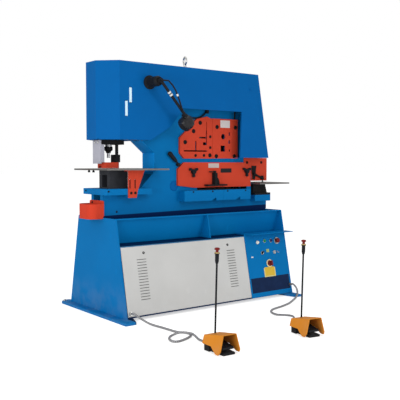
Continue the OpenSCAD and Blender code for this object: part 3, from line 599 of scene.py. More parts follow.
@dataclass(frozen=True)
class Moulding:
    """Moulded plastic or rubber with a fine grain.

    Attributes:
        name: material name.
        colour: mean colour.
        roughness: mean roughness.
        grain: depth of the grain in metres.
        sheen: strength of its reflection.
    """

    name: str
    colour: Colour
    roughness: float = 0.4
    grain: float = 0.0001
    sheen: float = GLOSS

    def build(self) -> bpy.types.Material:
        """Makes the material.

        Returns:
            The material.
        """
        sheet = PaintSheet(self.name)
        cloud = sheet.noise(scale=30.0, detail=3.0)
        smear = sheet.noise(scale=110.0, detail=4.0).fade(low=0.55, high=0.75)
        colour = sheet.mottled(self.colour, cloud, dark=0.85, light=1.12)
        roughness = self.roughness + smear * 0.12 + cloud * 0.05
        normal = sheet.bump(sheet.noise(scale=900.0, detail=1.0), self.grain, strength=0.3)
        return sheet.dress(
            Base_Color=colour, Roughness=roughness, Normal=normal, Specular_IOR_Level=self.sheen
        )


@dataclass(frozen=True)
class Plating:
    """Bright zinc or chrome plate.

    Attributes:
        name: material name.
        colour: colour of the plate.
        roughness: mean roughness.
    """

    name: str
    colour: Colour = (0.62, 0.62, 0.6)
    roughness: float = 0.22

    def build(self) -> bpy.types.Material:
        """Makes the material.

        Returns:
            The material.
        """
        sheet = PaintSheet(self.name)
        cloud = sheet.noise(scale=40.0, detail=4.0)
        colour = sheet.mottled(self.colour, cloud, dark=0.75, light=1.15)
        roughness = self.roughness + cloud * 0.16
        normal = sheet.bump(sheet.noise(scale=500.0, detail=2.0), depth=0.0001, strength=0.3)
        return sheet.dress(Base_Color=colour, Roughness=roughness, Normal=normal, Metallic=1.0)


@dataclass(frozen=True)
class OperatorPanelPaint:
    """Blue enamel with a dark kick panel painted across the foot of the operator panel.

    Attributes:
        name: material name.
        colour: paint of the upper field.
        kick: paint of the lower field.
        low: corner (x, z) where the kick panel starts.
        high: corner (x, z) where it ends.
        roughness: roughness of a clean face.
    """

    name: str
    colour: Colour
    kick: Colour
    low: Pair
    high: Pair
    roughness: float = 0.4

    def build(self) -> bpy.types.Material:
        """Makes the material.

        Returns:
            The material.
        """
        sheet = PaintSheet(self.name)
        along = sheet.axis("X")
        up = sheet.axis("Z")
        kick = (along > self.low[0]) * (along < self.high[0])
        kick = kick * (up > self.low[1]) * (up < self.high[1])
        cloud = sheet.noise(scale=3.0, detail=4.0)
        upper = sheet.mottled(self.colour, cloud, dark=0.88, light=1.12)
        lower = sheet.mottled(self.kick, sheet.noise(scale=18.0, detail=4.0), dark=0.75, light=1.3)
        colour = sheet.blend(kick, upper, lower)
        roughness = self.roughness + cloud * 0.08 + kick * 0.12
        normal = sheet.bump(sheet.noise(scale=PEEL_SCALE, detail=1.0), PEEL, PEEL_STRENGTH)
        return sheet.dress(
            Base_Color=colour, Roughness=roughness, Normal=normal, Specular_IOR_Level=GLOSS
        )


@dataclass(frozen=True)
class ConduitSkin:
    """Grey flexible metal hose with dust, its valleys darker with painted shade.

    Attributes:
        name: material name.
        colour: mean colour.
        roughness: mean roughness.
    """

    name: str
    colour: Colour = (0.40, 0.40, 0.42)
    roughness: float = 0.42

    def build(self) -> bpy.types.Material:
        """Makes the material.

        Returns:
            The material.
        """
        sheet = PaintSheet(self.name)
        cloud = sheet.noise(scale=12.0, detail=4.0)
        grit = sheet.noise(scale=160.0, detail=3.0).fade(low=0.45, high=0.7)
        crest = sheet.node("ShaderNodeAttribute", {"attribute_name": CREST}, out="Fac")
        colour = sheet.mottled(self.colour, cloud, dark=0.8, light=1.2)
        # Painted shade: the valleys between the ridges are darker
        colour = sheet.blend(crest * 0.8, tint(self.colour, 0.35), colour)
        colour = sheet.blend(grit * 0.25, colour, GRIT)
        roughness = self.roughness + grit * 0.25
        return sheet.dress(Base_Color=colour, Roughness=roughness, Metallic=0.3)


@dataclass(frozen=True)
class StudioFloor:
    """White floor that goes on behind the object and keeps the shadow.

    Attributes:
        name: material name.
        colour: colour of the floor.
        glow: light that the floor adds for the camera.
    """

    name: str
    colour: Colour = (0.82, 0.82, 0.81)
    glow: float = 0.55

    def build(self) -> bpy.types.Material:
        """Makes the material.

        Returns:
            The material.
        """
        sheet = PaintSheet(self.name)
        seen = sheet.node("ShaderNodeLightPath", out="Is Camera Ray")
        glow = sheet.blend(seen, BLACK, WHITE)
        return sheet.dress(
            Base_Color=solid(self.colour),
            Roughness=0.9,
            Emission_Color=glow,
            Emission_Strength=self.glow,
        )


# Paints
BLUE = (0.0, 0.105, 0.345)
BASE_BLUE = (0.0, 0.152, 0.415)
RED = (0.55, 0.055, 0.026)
NAVY = (0.008, 0.021, 0.066)
PALE_YELLOW = (0.66, 0.58, 0.24)
# Painted light: the slug bin's own copy of the red, brighter in red for the side light on it
SIDE_LIT_RED_COPY = (0.57, 0.048, 0.022)
AMBER = (0.62, 0.222, 0.020)
YELLOW = (0.62, 0.42, 0.05)
DULL_YELLOW = (0.44, 0.33, 0.14)
CREAM = (0.80, 0.64, 0.34)
OLIVE = (0.36, 0.42, 0.16)
LOUVRE_SHADE = (0.075, 0.075, 0.075)
RECESS_SHADE = (0.0, 0.020, 0.085)
# Painted light: lighter blue for the lit top of the flange above the service panel
FLANGE_HIGHLIGHT_BLUE = (0.05, 0.17, 0.34)
STRIP_WHITE = (0.60, 0.80, 0.98)

# Finish of each material slot of the record
FINISHES: dict[str, Finish] = {
    "blue": Enamel("blue_enamel", BLUE),
    "red": Enamel("red_enamel", RED, dust=0.0, rub=0.15),
    "white_panel": Enamel("white_enamel", (0.55, 0.55, 0.54), roughness=0.45, rub=0.1),
    "tool_steel": GroundSteel("tool_steel"),
    "table_steel": GroundSteel("table_steel", (0.17, 0.165, 0.16), Grain.ALONG_Y, roughness=0.45),
    "grey_paint": Enamel("grey_enamel", (0.40, 0.40, 0.46)),
    "black_steel": BlackOxide("black_oxide"),
    "zinc": Plating("zinc_plate"),
    "black_plastic": Moulding("black_moulding", (0.014, 0.015, 0.018), roughness=0.38),
    "lamp_metal": Moulding("black_tube", (0.016, 0.017, 0.02), roughness=0.32),
    "hose": Moulding("black_rubber", (0.014, 0.014, 0.016), roughness=0.5),
    "lens": Moulding("clear_lens", (0.82, 0.80, 0.70), roughness=0.15),
    "green_plastic": Moulding("green_button", (0.02, 0.26, 0.08), roughness=0.3),
    "dark_blue_plastic": Moulding("blue_button", (0.012, 0.02, 0.12), roughness=0.3),
    "red_plastic": Moulding("red_button", (0.17, 0.020, 0.019), roughness=0.3),
    "key_metal": Plating("key_plate", OFF_WHITE, roughness=0.25),
    "amber_cast": Enamel("amber_enamel", AMBER, roughness=0.42, dust=0.1, rub=0.12),
    "pedal_black": BlackOxide("pedal_enamel", (0.016, 0.016, 0.017), roughness=0.4),
    "conduit": ConduitSkin("conduit_skin"),
}

# Finishes of nodes that differ from their slot's
NODE_FINISHES: dict[str, Finish] = {
    "frame_plates": TroughEnamel("frame_enamel", BASE_BLUE),
    "frame_beds": TroughEnamel("frame_enamel", BASE_BLUE),
    # Painted light: the slug bin takes the side-lit copy of the red
    "slug_bin": Enamel("bin_side_lit_enamel", SIDE_LIT_RED_COPY, dust=0.0, rub=0.15),
    "base_frame": SkirtEnamel("base_enamel", BASE_BLUE),
    "control_panel": OperatorPanelPaint(
        "operator_panel_paint", BASE_BLUE, NAVY, low=(0.380, 0.060), high=(0.812, 0.179)
    ),
    "lamp_head": Moulding("lamp_shade_gloss", (0.016, 0.016, 0.018), roughness=0.14, sheen=0.3),
    "die_block": BlackOxide("die_block_oxide", (0.034, 0.036, 0.042)),
}


class Paintshop:
    """Makes each finish once and puts it on pieces."""

    def __init__(self) -> None:
        """Starts with no finish made."""
        self._made: dict[str, bpy.types.Material] = {}

    def material(self, finish: Finish) -> bpy.types.Material:
        """The material of a finish, made when it is first asked for.

        Args:
            finish: the finish.

        Returns:
            The material.
        """
        if finish.name not in self._made:
            self._made[finish.name] = finish.build()
        return self._made[finish.name]

    def coat(self, piece: bpy.types.Object, finish: Finish) -> None:
        """Makes a finish the only one of a piece.

        Args:
            piece: the piece.
            finish: what it is coated with.
        """
        material = self.material(finish)
        if not piece.material_slots:
            piece.data.materials.append(material)
        for slot in piece.material_slots:
            slot.material = material


SHOP = Paintshop()


# ---- meshes -------------------------------------------------------------------------------

# Turn of a quarter circle
QUARTER = math.pi / 2
# Distance below which vertices are one
WELD = 1e-6
# Angle in radians from which an edge is sharp, and roundness of a bevel
SHARP = 0.5
BEVEL_PROFILE = 0.6


def adopt(name: str, data: bpy.types.Mesh, slot: str, body: str = MACHINE) -> bpy.types.Object:
    """Makes a piece of mesh data, gives it its finish and its body.

    Args:
        name: the piece's name.
        data: its geometry, in place.
        slot: material slot of the record that it takes its finish from.
        body: the body it moves with.

    Returns:
        The piece.
    """
    piece = bpy.data.objects.new(name, data)
    bpy.context.scene.collection.objects.link(piece)
    SHOP.coat(piece, FINISHES[slot])
    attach(piece, body)
    LOG.info("%s rides on %s", name, body)
    return piece


def bake(name: str, mesh: bmesh.types.BMesh) -> bpy.types.Mesh:
    """Turns a finished mesh into mesh data with its faces outward.

    Args:
        name: name of the data.
        mesh: the mesh, which is freed.

    Returns:
        The data.
    """
    data = bpy.data.meshes.new(name)
    bmesh.ops.recalc_face_normals(mesh, faces=mesh.faces)
    mesh.to_mesh(data)
    mesh.free()
    return data


def publish(
    name: str,
    mesh: bmesh.types.BMesh,
    slot: str,
    body: str = MACHINE,
    finish: Finish | None = None,
) -> bpy.types.Object:
    """Turns a finished mesh into a piece that rides on a body.

    Args:
        name: the piece's name.
        mesh: its geometry, in place.
        slot: material slot of the record.
        body: the body it moves with.
        finish: coat that differs from the slot's.

    Returns:
        The piece.
    """
    piece = adopt(name, bake(name, mesh), slot, body)
    if finish is not None:
        SHOP.coat(piece, finish)
    return piece


def lathe(mesh: bmesh.types.BMesh, profile: Sequence[Pair], steps: int) -> Verts:
    """Revolves a profile around Z.

    Args:
        mesh: mesh that receives the faces.
        profile: (radius, height) pairs from the first pole to the last.
        steps: faces around.

    Returns:
        The new vertices.
    """
    rings = []
    turns = [math.tau * i / steps for i in range(steps)]
    for radius, height in profile:
        if radius < WELD:
            rings.append([mesh.verts.new((0.0, 0.0, height))])
            continue
        places = [(radius * math.cos(turn), radius * math.sin(turn), height) for turn in turns]
        rings.append([mesh.verts.new(place) for place in places])
    for low, high in zip(rings, rings[1:]):
        for i in range(steps):
            j = (i + 1) % steps
            corners = [low[i % len(low)], low[j % len(low)], high[j % len(high)], high[i % len(high)]]
            unique = list(dict.fromkeys(corners))
            if len(unique) > 2:
                mesh.faces.new(unique)
    return [vert for ring in rings for vert in ring]


def tube(mesh: bmesh.types.BMesh, profile: Sequence[Pair], steps: int) -> Verts:
    """Revolves a closed profile around Z.

    Args:
        mesh: mesh that receives the faces.
        profile: (radius, height) pairs, without the first one again at the end.
        steps: faces around.

    Returns:
        The new vertices, the first ring twice.
    """
    return lathe(mesh, [*profile, profile[0]], steps)


def weld(mesh: bmesh.types.BMesh) -> None:
    """Makes one vertex of those in one place."""
    bmesh.ops.remove_doubles(mesh, verts=mesh.verts, dist=WELD)


def block(mesh: bmesh.types.BMesh, low: Point, high: Point) -> None:
    """Adds a box between two corners.

    Args:
        mesh: mesh that receives the box.
        low: lowest corner.
        high: highest corner.
    """
    for vert in bmesh.ops.create_cube(mesh, size=1.0)["verts"]:
        vert.co = [low[k] + (vert.co[k] + 0.5) * (high[k] - low[k]) for k in range(3)]


def move(mesh: bmesh.types.BMesh, verts: Verts, matrix: Matrix) -> None:
    """Places some vertices of a mesh."""
    bmesh.ops.transform(mesh, matrix=matrix, verts=verts)


def soften(mesh: bmesh.types.BMesh, width: float) -> None:
    """Bevels every sharp edge of a mesh.

    Args:
        mesh: mesh to bevel.
        width: size of the bevel in metres.
    """
    inner = [edge for edge in mesh.edges if len(edge.link_faces) == 2]
    sharp = [edge for edge in inner if edge.calc_face_angle(0.0) > SHARP]
    bmesh.ops.bevel(
        mesh, geom=sharp, offset=width, segments=1, affect="EDGES", profile=BEVEL_PROFILE
    )


# ---- geometry nodes -----------------------------------------------------------------------

# Points of the path on one pitch of the hose, and faces around the hose
PITCH_POINTS = 4
HOSE_FACES = 12


class BuildTree(Sheet):
    """A geometry tree with named inputs."""

    def __init__(self, name: str, inputs: Sequence[tuple[str, str]]) -> None:
        """Makes the tree and its interface.

        Args:
            name: the tree's name.
            inputs: (input name, socket type) pairs between the geometry and the material.
        """
        tree = bpy.data.node_groups.new(name, "GeometryNodeTree")
        sockets = [("Geometry", "Geometry"), *inputs, ("Material", "Material")]
        for title, kind in sockets:
            tree.interface.new_socket(title, in_out="INPUT", socket_type=f"NodeSocket{kind}")
        tree.interface.new_socket("Geometry", in_out="OUTPUT", socket_type="NodeSocketGeometry")
        super().__init__(tree)
        self.source = self.add("NodeGroupInput")

    def given(self, name: str) -> Wire:
        """One of the tree's own inputs."""
        return Wire(self, self.source.outputs[name])

    def finish(self, geometry: Wire) -> None:
        """Ends the tree: instances become mesh and take the material.

        Args:
            geometry: what the tree has made.
        """
        real = self.node("GeometryNodeRealizeInstances", {}, {0: geometry})
        inputs = {"Geometry": real, "Material": self.given("Material")}
        self.add("NodeGroupOutput", {}, {0: self.node("GeometryNodeSetMaterial", {}, inputs)})

    def apply(self, name: str, source: bpy.types.ID, values: dict[str, object]) -> bpy.types.Mesh:
        """Runs the tree on a mesh or a curve and returns the plain mesh.

        Args:
            name: name of the mesh.
            source: data that the tree starts from.
            values: input values by name.

        Returns:
            The mesh.
        """
        carrier = bpy.data.objects.new(name, source)
        bpy.context.scene.collection.objects.link(carrier)
        modifier = carrier.modifiers.new(name, "NODES")
        modifier.node_group = self.tree
        for item in self.tree.interface.items_tree:
            if item.in_out == "INPUT" and item.name in values:
                modifier[item.identifier] = values[item.name]
        bpy.context.view_layer.update()
        graph = bpy.context.evaluated_depsgraph_get()
        mesh = bpy.data.meshes.new_from_object(carrier.evaluated_get(graph), depsgraph=graph)
        mesh.name = name
        bpy.data.objects.remove(carrier)
        return mesh


def array_tree() -> BuildTree:
    """Tree that puts a copy of one fitting on every point.

    Returns:
        The tree.
    """
    tree = BuildTree("fittings_on_points", [("Fitting", "Object"), ("Turn", "Rotation")])
    points = tree.node("GeometryNodeMeshToPoints", {}, {"Mesh": tree.given("Geometry")})
    source = {"Object": tree.given("Fitting")}
    fitting = tree.node("GeometryNodeObjectInfo", {}, source, out="Geometry")
    inputs = {"Points": points, "Instance": fitting, "Rotation": tree.given("Turn")}
    tree.finish(tree.node("GeometryNodeInstanceOnPoints", {}, inputs))
    return tree


def hose_tree() -> BuildTree:
    """Tree that wraps ridged hose around a path.

    Of the points on one pitch, the second and the third are the ridge.

    Returns:
        The tree.
    """
    sockets = [("Radius", "Float"), ("Ridge", "Float"), ("Pitch", "Float")]
    tree = BuildTree("ridged_hose", sockets)
    inputs = {"Curve": tree.given("Geometry"), "Length": tree.given("Pitch") * (1.0 / PITCH_POINTS)}
    even = tree.node("GeometryNodeResampleCurve", {"mode": "LENGTH"}, inputs)
    step = tree.node("GeometryNodeInputIndex") % PITCH_POINTS
    crest = (step > 0.5) * (step < 2.5)
    inputs = {"Curve": even, "Radius": 1.0 - (1.0 - crest) * tree.given("Ridge")}
    ridged = tree.node("GeometryNodeSetCurveRadius", {}, inputs)
    settings = {"data_type": "FLOAT", "domain": "POINT"}
    inputs = {"Geometry": ridged, "Name": CREST, "Value": crest}
    marked = tree.node("GeometryNodeStoreNamedAttribute", settings, inputs)
    inputs = {"Resolution": HOSE_FACES, "Radius": tree.given("Radius")}
    ring = tree.node("GeometryNodeCurvePrimitiveCircle", {"mode": "RADIUS"}, inputs)
    inputs = {
        "Curve": marked,
        "Profile Curve": ring,
        "Scale": tree.node("GeometryNodeInputRadius"),
        "Fill Caps": True,
    }
    tree.finish(tree.node("GeometryNodeCurveToMesh", {}, inputs))
    return tree


# ---- places and fittings ------------------------------------------------------------------


@dataclass(frozen=True)
class SlopeFace:
    """The sloping front face of the cabinet.

    Attributes:
        foot: half width of the cabinet at the floor.
        top: half width at the top edge.
        height: height of the top edge.
    """

    foot: float = 0.428
    top: float = 0.280
    height: float = 0.722

    @property
    def turn(self) -> Euler:
        """Turn that lays a fitting on the face."""
        return Euler((QUARTER - math.atan((self.foot - self.top) / self.height), 0.0, 0.0))

    def matrix(self, x: float = 0.0, up: float = 0.0, out: float = 0.0) -> Matrix:
        """Frame at a point of the face, with X along, Y up the slope and Z outward.

        Args:
            x: place along the machine.
            up: distance up the slope.
            out: distance outward.

        Returns:
            The frame.
        """
        face = Matrix.Translation((0.0, -self.foot, 0.0)) @ self.turn.to_matrix().to_4x4()
        return face @ Matrix.Translation((x, up, out))

    def point(self, x: float, up: float, out: float = 0.0) -> Point:
        """A point on the face, given along, up the slope and outward."""
        return tuple(self.matrix(x, up, out).translation)


SLOPE = SlopeFace()


class FittingStore:
    """Puts repeated fittings on the machine with one tree."""

    TURNS = {
        Facing.UP: Euler(),
        Facing.FRONT: Euler((QUARTER, 0.0, 0.0)),
        Facing.LEFT: Euler((0.0, -QUARTER, 0.0)),
        Facing.SLOPE: SLOPE.turn,
    }

    def __init__(self) -> None:
        """Builds the tree."""
        self.tree = array_tree()

    def place(
        self,
        name: str,
        prototype: bmesh.types.BMesh,
        spots: Sequence[Point],
        facing: Facing,
        slot: str,
    ) -> bpy.types.Object:
        """Makes one piece of many equal fittings.

        Args:
            name: the piece's name.
            prototype: one fitting at the origin, looking up.
            spots: where each one goes.
            facing: which way they look.
            slot: material slot of the record.

        Returns:
            The piece.
        """
        fitting = bpy.data.objects.new("prototype", bake("prototype", prototype))
        bpy.context.scene.collection.objects.link(fitting)
        carrier = bpy.data.meshes.new("spots")
        carrier.from_pydata(spots, [], [])
        values = {
            "Fitting": fitting,
            "Turn": tuple(self.TURNS[facing]),
            "Material": SHOP.material(FINISHES[slot]),
        }
        data = self.tree.apply(name, carrier, values)
        bpy.data.objects.remove(fitting)
        return adopt(name, data, slot)


FITTINGS = FittingStore()


# ---- studio -------------------------------------------------------------------------------

# Width of the camera's sensor in millimetres
SENSOR = 36.0
# Farthest distance in metres that the camera sees, and half the edge of the floor
FAR = 200.0
FLOOR_REACH = 60.0
# Strength of the world's light, apart from what the camera sees of it
WORLD_LIGHT = 0.62
# Point that the lamps look at
LAMP_AIM = (0.0, 0.0, 0.9)


@dataclass(frozen=True)
class Lamp:
    """Square soft box that looks at the machine.

    Attributes:
        name: the lamp's name.
        place: where it hangs.
        size: edge length in metres.
        power: power in watts.
    """

    name: str
    place: Point
    size: float
    power: float

    def hang(self) -> None:
        """Adds the lamp to the scene."""
        data = bpy.data.lights.new(self.name, "AREA")
        data.size = self.size
        data.energy = self.power
        lamp = bpy.data.objects.new(self.name, data)
        lamp.location = self.place
        aim = Vector(LAMP_AIM) - Vector(self.place)
        lamp.rotation_euler = aim.to_track_quat("-Z", "Y").to_euler()
        bpy.context.scene.collection.objects.link(lamp)


@dataclass
class Studio:
    """Camera, lamps, floor and backdrop.

    Attributes:
        eye: place of the camera.
        turn: camera turn in degrees about X and Z.
        lens: focal length in millimetres.
        lamps: the soft boxes.
    """

    eye: Point = (-3.3394, -4.4932, 1.1251)
    turn: Pair = (86.903, -37.878)
    lens: float = 61.18
    lamps: tuple[Lamp, ...] = (
        Lamp("key", (-1.6, -5.6, 3.6), 2.4, 66.0),
        Lamp("low", (1.6, -5.6, 0.9), 1.6, 55.0),
        Lamp("side", (-6.8, -0.6, 1.6), 3.0, 106.0),
        Lamp("throat", (-4.4, -2.4, 1.1), 0.8, 32.0),
        Lamp("top", (0.0, 0.5, 6.0), 3.0, 45.0),
    )

    def camera(self) -> None:
        """Sets up the camera."""
        data = bpy.data.cameras.new("camera")
        data.lens = self.lens
        data.sensor_width = SENSOR
        data.clip_end = FAR
        camera = bpy.data.objects.new("camera", data)
        camera.location = self.eye
        camera.rotation_euler = (math.radians(self.turn[0]), 0.0, math.radians(self.turn[1]))
        bpy.context.scene.collection.objects.link(camera)
        bpy.context.scene.camera = camera

    def floor(self) -> None:
        """Lays the floor."""
        data = bpy.data.meshes.new("floor")
        signs = ((-1, -1), (1, -1), (1, 1), (-1, 1))
        corners = [(FLOOR_REACH * x, FLOOR_REACH * y, 0.0) for x, y in signs]
        data.from_pydata(corners, [], [(0, 1, 2, 3)])
        floor = bpy.data.objects.new("floor", data)
        bpy.context.scene.collection.objects.link(floor)
        SHOP.coat(floor, StudioFloor("studio_floor"))

    def backdrop(self) -> None:
        """Makes the world white for the camera and dimmer for the rest."""
        world = bpy.data.worlds.new("studio")
        world.use_nodes = True
        sheet = Sheet(world.node_tree)
        seen = sheet.node("ShaderNodeLightPath", out="Is Camera Ray")
        strength = WORLD_LIGHT + seen * (1.0 - WORLD_LIGHT)
        inputs = {"Color": solid(WHITE), "Strength": strength}
        sheet.add("ShaderNodeOutputWorld", {}, {0: sheet.node("ShaderNodeBackground", {}, inputs)})
        bpy.context.scene.world = world

    def build(self) -> None:
        """Sets the colour handling and builds the studio."""
        bpy.context.scene.view_settings.view_transform = "Standard"
        self.camera()
        self.floor()
        self.backdrop()
        for lamp in self.lamps:
            lamp.hang()


# ---- conduits -----------------------------------------------------------------------------


@dataclass(frozen=True)
class Conduit:
    """Ridged steel conduit between the cabinet and a foot switch.

    Attributes:
        name: piece name.
        node: CAD node that it stands for.
        route: route points in millimetres.
        radius: outer radius in metres.
        pitch: distance from ridge to ridge in metres.
        ridge: depth of the valleys as a share of the radius.
        smooth: points on the curve for each stretch of the route.
    """

    name: str
    node: str
    route: tuple[Point, ...]
    radius: float = 0.008
    pitch: float = 0.011
    ridge: float = 0.16
    smooth: int = 5

    def line(self) -> list[Vector]:
        """The smooth centre line through the route.

        Returns:
            Its points in metres.
        """
        knots = [Vector(point) * MM for point in self.route]
        knots = [2 * knots[0] - knots[1], *knots, 2 * knots[-1] - knots[-2]]
        line = []
        for i in range(1, len(knots) - 2):
            before, start, end, after = knots[i - 1 : i + 3]
            for k in range(self.smooth):
                t = k / self.smooth
                bend = 2 * before - 5 * start + 4 * end - after
                twist = 3 * (start - end) + after - before
                line.append(0.5 * (2 * start + (end - before) * t + bend * t**2 + twist * t**3))
        line.append(knots[-2])
        return line

    def build(self, tree: BuildTree) -> bpy.types.Object:
        """Args:
            tree: the tree that wraps the hose around a path.

        Returns:
            The piece.
        """
        line = self.line()
        curve = bpy.data.curves.new(self.name, "CURVE")
        curve.dimensions = "3D"
        spline = curve.splines.new("POLY")
        spline.points.add(len(line) - 1)
        for point, place in zip(spline.points, line):
            point.co = (*place, 1.0)
        values = {
            "Radius": self.radius,
            "Ridge": self.ridge,
            "Pitch": self.pitch,
            "Material": SHOP.material(FINISHES["conduit"]),
        }
        data = tree.apply(self.name, curve, values)
        piece = adopt(self.name, data, "conduit")
        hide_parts(self.node)
        length = sum((b - a).length for a, b in zip(line, line[1:]))
        LOG.info("%s is %.2f m long", self.name, length)
        return piece


# Routes from the cabinet's gland to the foot switch, in millimetres
LEFT_ROUTE = (
    (-795, -437, 60.2), (-795, -461, 65), (-787, -492, 53), (-776, -532, 37), (-763, -577, 21),
    (-751, -627, 12), (-741, -682, 9), (-736, -740, 9), (-733, -803, 9), (-731, -850, 9),
    (-724, -896, 9), (-712, -911, 9), (-700, -926, 9), (-692, -945, 9), (-688, -966, 9),
    (-692, -989, 9), (-703, -1011, 9), (-722, -1029, 9), (-748, -1046, 9), (-781, -1063, 9),
    (-815, -1076, 9), (-845, -1084, 9), (-869, -1084, 9), (-883, -1074, 9), (-888, -1057, 9),
    (-884, -1032, 9), (-873, -1005, 9), (-856, -980, 9), (-835, -959, 9), (-814, -948, 11),
    (-794, -947, 15), (-775, -956, 22), (-758, -974, 28), (-740, -1003, 30), (-727, -1033, 29),
    (-722, -1048, 28), (-723, -1065, 25), (-731, -1102, 19), (-744, -1144, 15), (-773, -1222, 24),
    (-798.5, -1268.1, 28), (-800.3, -1293, 28),
)
RIGHT_ROUTE = (
    (808, -429.5, 95.3), (809, -448, 98.5), (816, -470, 82), (816, -490, 56), (797, -514, 34),
    (757, -545, 21), (708, -577, 12), (655, -608, 9), (590, -648, 9), (525, -686, 9),
    (460, -712, 9), (398, -733, 9), (342, -748, 9), (289, -762, 9), (244, -781, 9),
    (204, -812, 9), (175, -853, 9), (158, -900, 10), (146, -945, 14), (135, -990, 22),
    (126, -1040, 31), (117, -1094, 39), (98, -1146, 44), (66, -1186, 44), (32, -1214, 39),
    (4, -1240, 33), (-14, -1268, 30), (-24.2, -1296.8, 28.6), (-28.7, -1322.4, 28),
)


# ---- screws and small fittings ------------------------------------------------------------

# Gap between a fitting and the face it sits on
PROUD = 0.0002
# Bevel of a blank plate
PLATE_EDGE = 0.0005


def socket_screw(radius: float, height: float) -> bmesh.types.BMesh:
    """A button-head screw with a hexagon socket, at the origin and looking up.

    Args:
        radius: radius of the head.
        height: height of the head.

    Returns:
        The mesh.
    """
    steps = 24
    # Share of the radius, share of the height, and whether the ring is the hexagon's
    levels = [
        (1.0, 0.0, False),
        (1.0, 0.25, False),
        (0.9, 0.7, False),
        (0.66, 1.0, False),
        (0.46, 1.0, True),
        (0.46, 0.35, True),
    ]
    mesh = bmesh.new()
    rings = []
    for share, lift, hexagon in levels:
        ring = []
        for i in range(steps):
            angle = math.tau * i / steps
            away = share * radius
            if hexagon:
                away /= math.cos((angle % (math.pi / 3)) - math.pi / 6)
                away *= math.cos(math.pi / 6)
            place = (away * math.cos(angle), away * math.sin(angle), lift * height)
            ring.append(mesh.verts.new(place))
        rings.append(ring)
    for low, high in zip(rings, rings[1:]):
        for i in range(steps):
            j = (i + 1) % steps
            mesh.faces.new((low[i], low[j], high[j], high[i]))
    mesh.faces.new(rings[0][::-1])
    mesh.faces.new(rings[-1])
    return mesh


def hexagon_bolt(radius: float, height: float) -> bmesh.types.BMesh:
    """A hexagon bolt head on its washer, at the origin and looking up.

    Args:
        radius: radius of the head across its corners.
        height: height of the head with its washer.

    Returns:
        The mesh.
    """
    mesh = bmesh.new()
    rim = radius * 1.25
    washer = height * 0.2
    lathe(mesh, [(0.0, 0.0), (rim, 0.0), (rim, washer), (0.0, washer)], steps=24)
    chamfer = [(radius, washer), (radius, height * 0.85), (radius * 0.8, height)]
    lathe(mesh, [(0.0, washer), *chamfer, (0.0, height)], steps=6)
    return mesh


def collar(outer: float, inner: float, height: float) -> bmesh.types.BMesh:
    """A rounded bezel ring, at the origin and looking up.

    Args:
        outer: outer radius.
        inner: inner radius.
        height: height of the ring.

    Returns:
        The mesh.
    """
    mesh = bmesh.new()
    foot = [(inner, 0.0), (outer, 0.0), (outer, height * 0.6)]
    crown = [(outer - height * 0.4, height), (inner + height * 0.2, height), (inner, height * 0.8)]
    tube(mesh, [*foot, *crown], steps=28)
    weld(mesh)
    return mesh


def blank_plate(
    name: str, low: Point, high: Point, slot: str, colour: Colour, place: Matrix | None = None
) -> None:
    """Adds one blank plate with bevelled edges.

    Args:
        name: the piece's name.
        low: lowest corner.
        high: highest corner.
        slot: material slot of the record.
        colour: colour of the plate.
        place: frame of the corners, the machine's own if left out.
    """
    mesh = bmesh.new()
    block(mesh, low, high)
    soften(mesh, PLATE_EDGE)
    if place is not None:
        move(mesh, mesh.verts, place)
    publish(name, mesh, slot, finish=Enamel(f"{name}_paint", colour, rub=0.05, dust=0.0))


@dataclass(frozen=True)
class ScrewSet:
    """Equal screws that make one piece. Sizes and places are in millimetres.

    Attributes:
        name: the piece's name.
        head: maker of the head's mesh from its radius and height.
        size: radius and height of the head.
        spots: where each one goes.
        facing: which way they look.
        slot: material slot of the record.
    """

    name: str
    head: Callable[[float, float], bmesh.types.BMesh]
    size: Pair
    spots: Sequence[Point]
    facing: Facing = Facing.FRONT
    slot: str = "black_steel"

    def build(self) -> bpy.types.Object:
        """Makes the screws.

        Returns:
            The piece.
        """
        radius, height = (part * MM for part in self.size)
        spots = [tuple(part * MM for part in spot) for spot in self.spots]
        return FITTINGS.place(self.name, self.head(radius, height), spots, self.facing, self.slot)


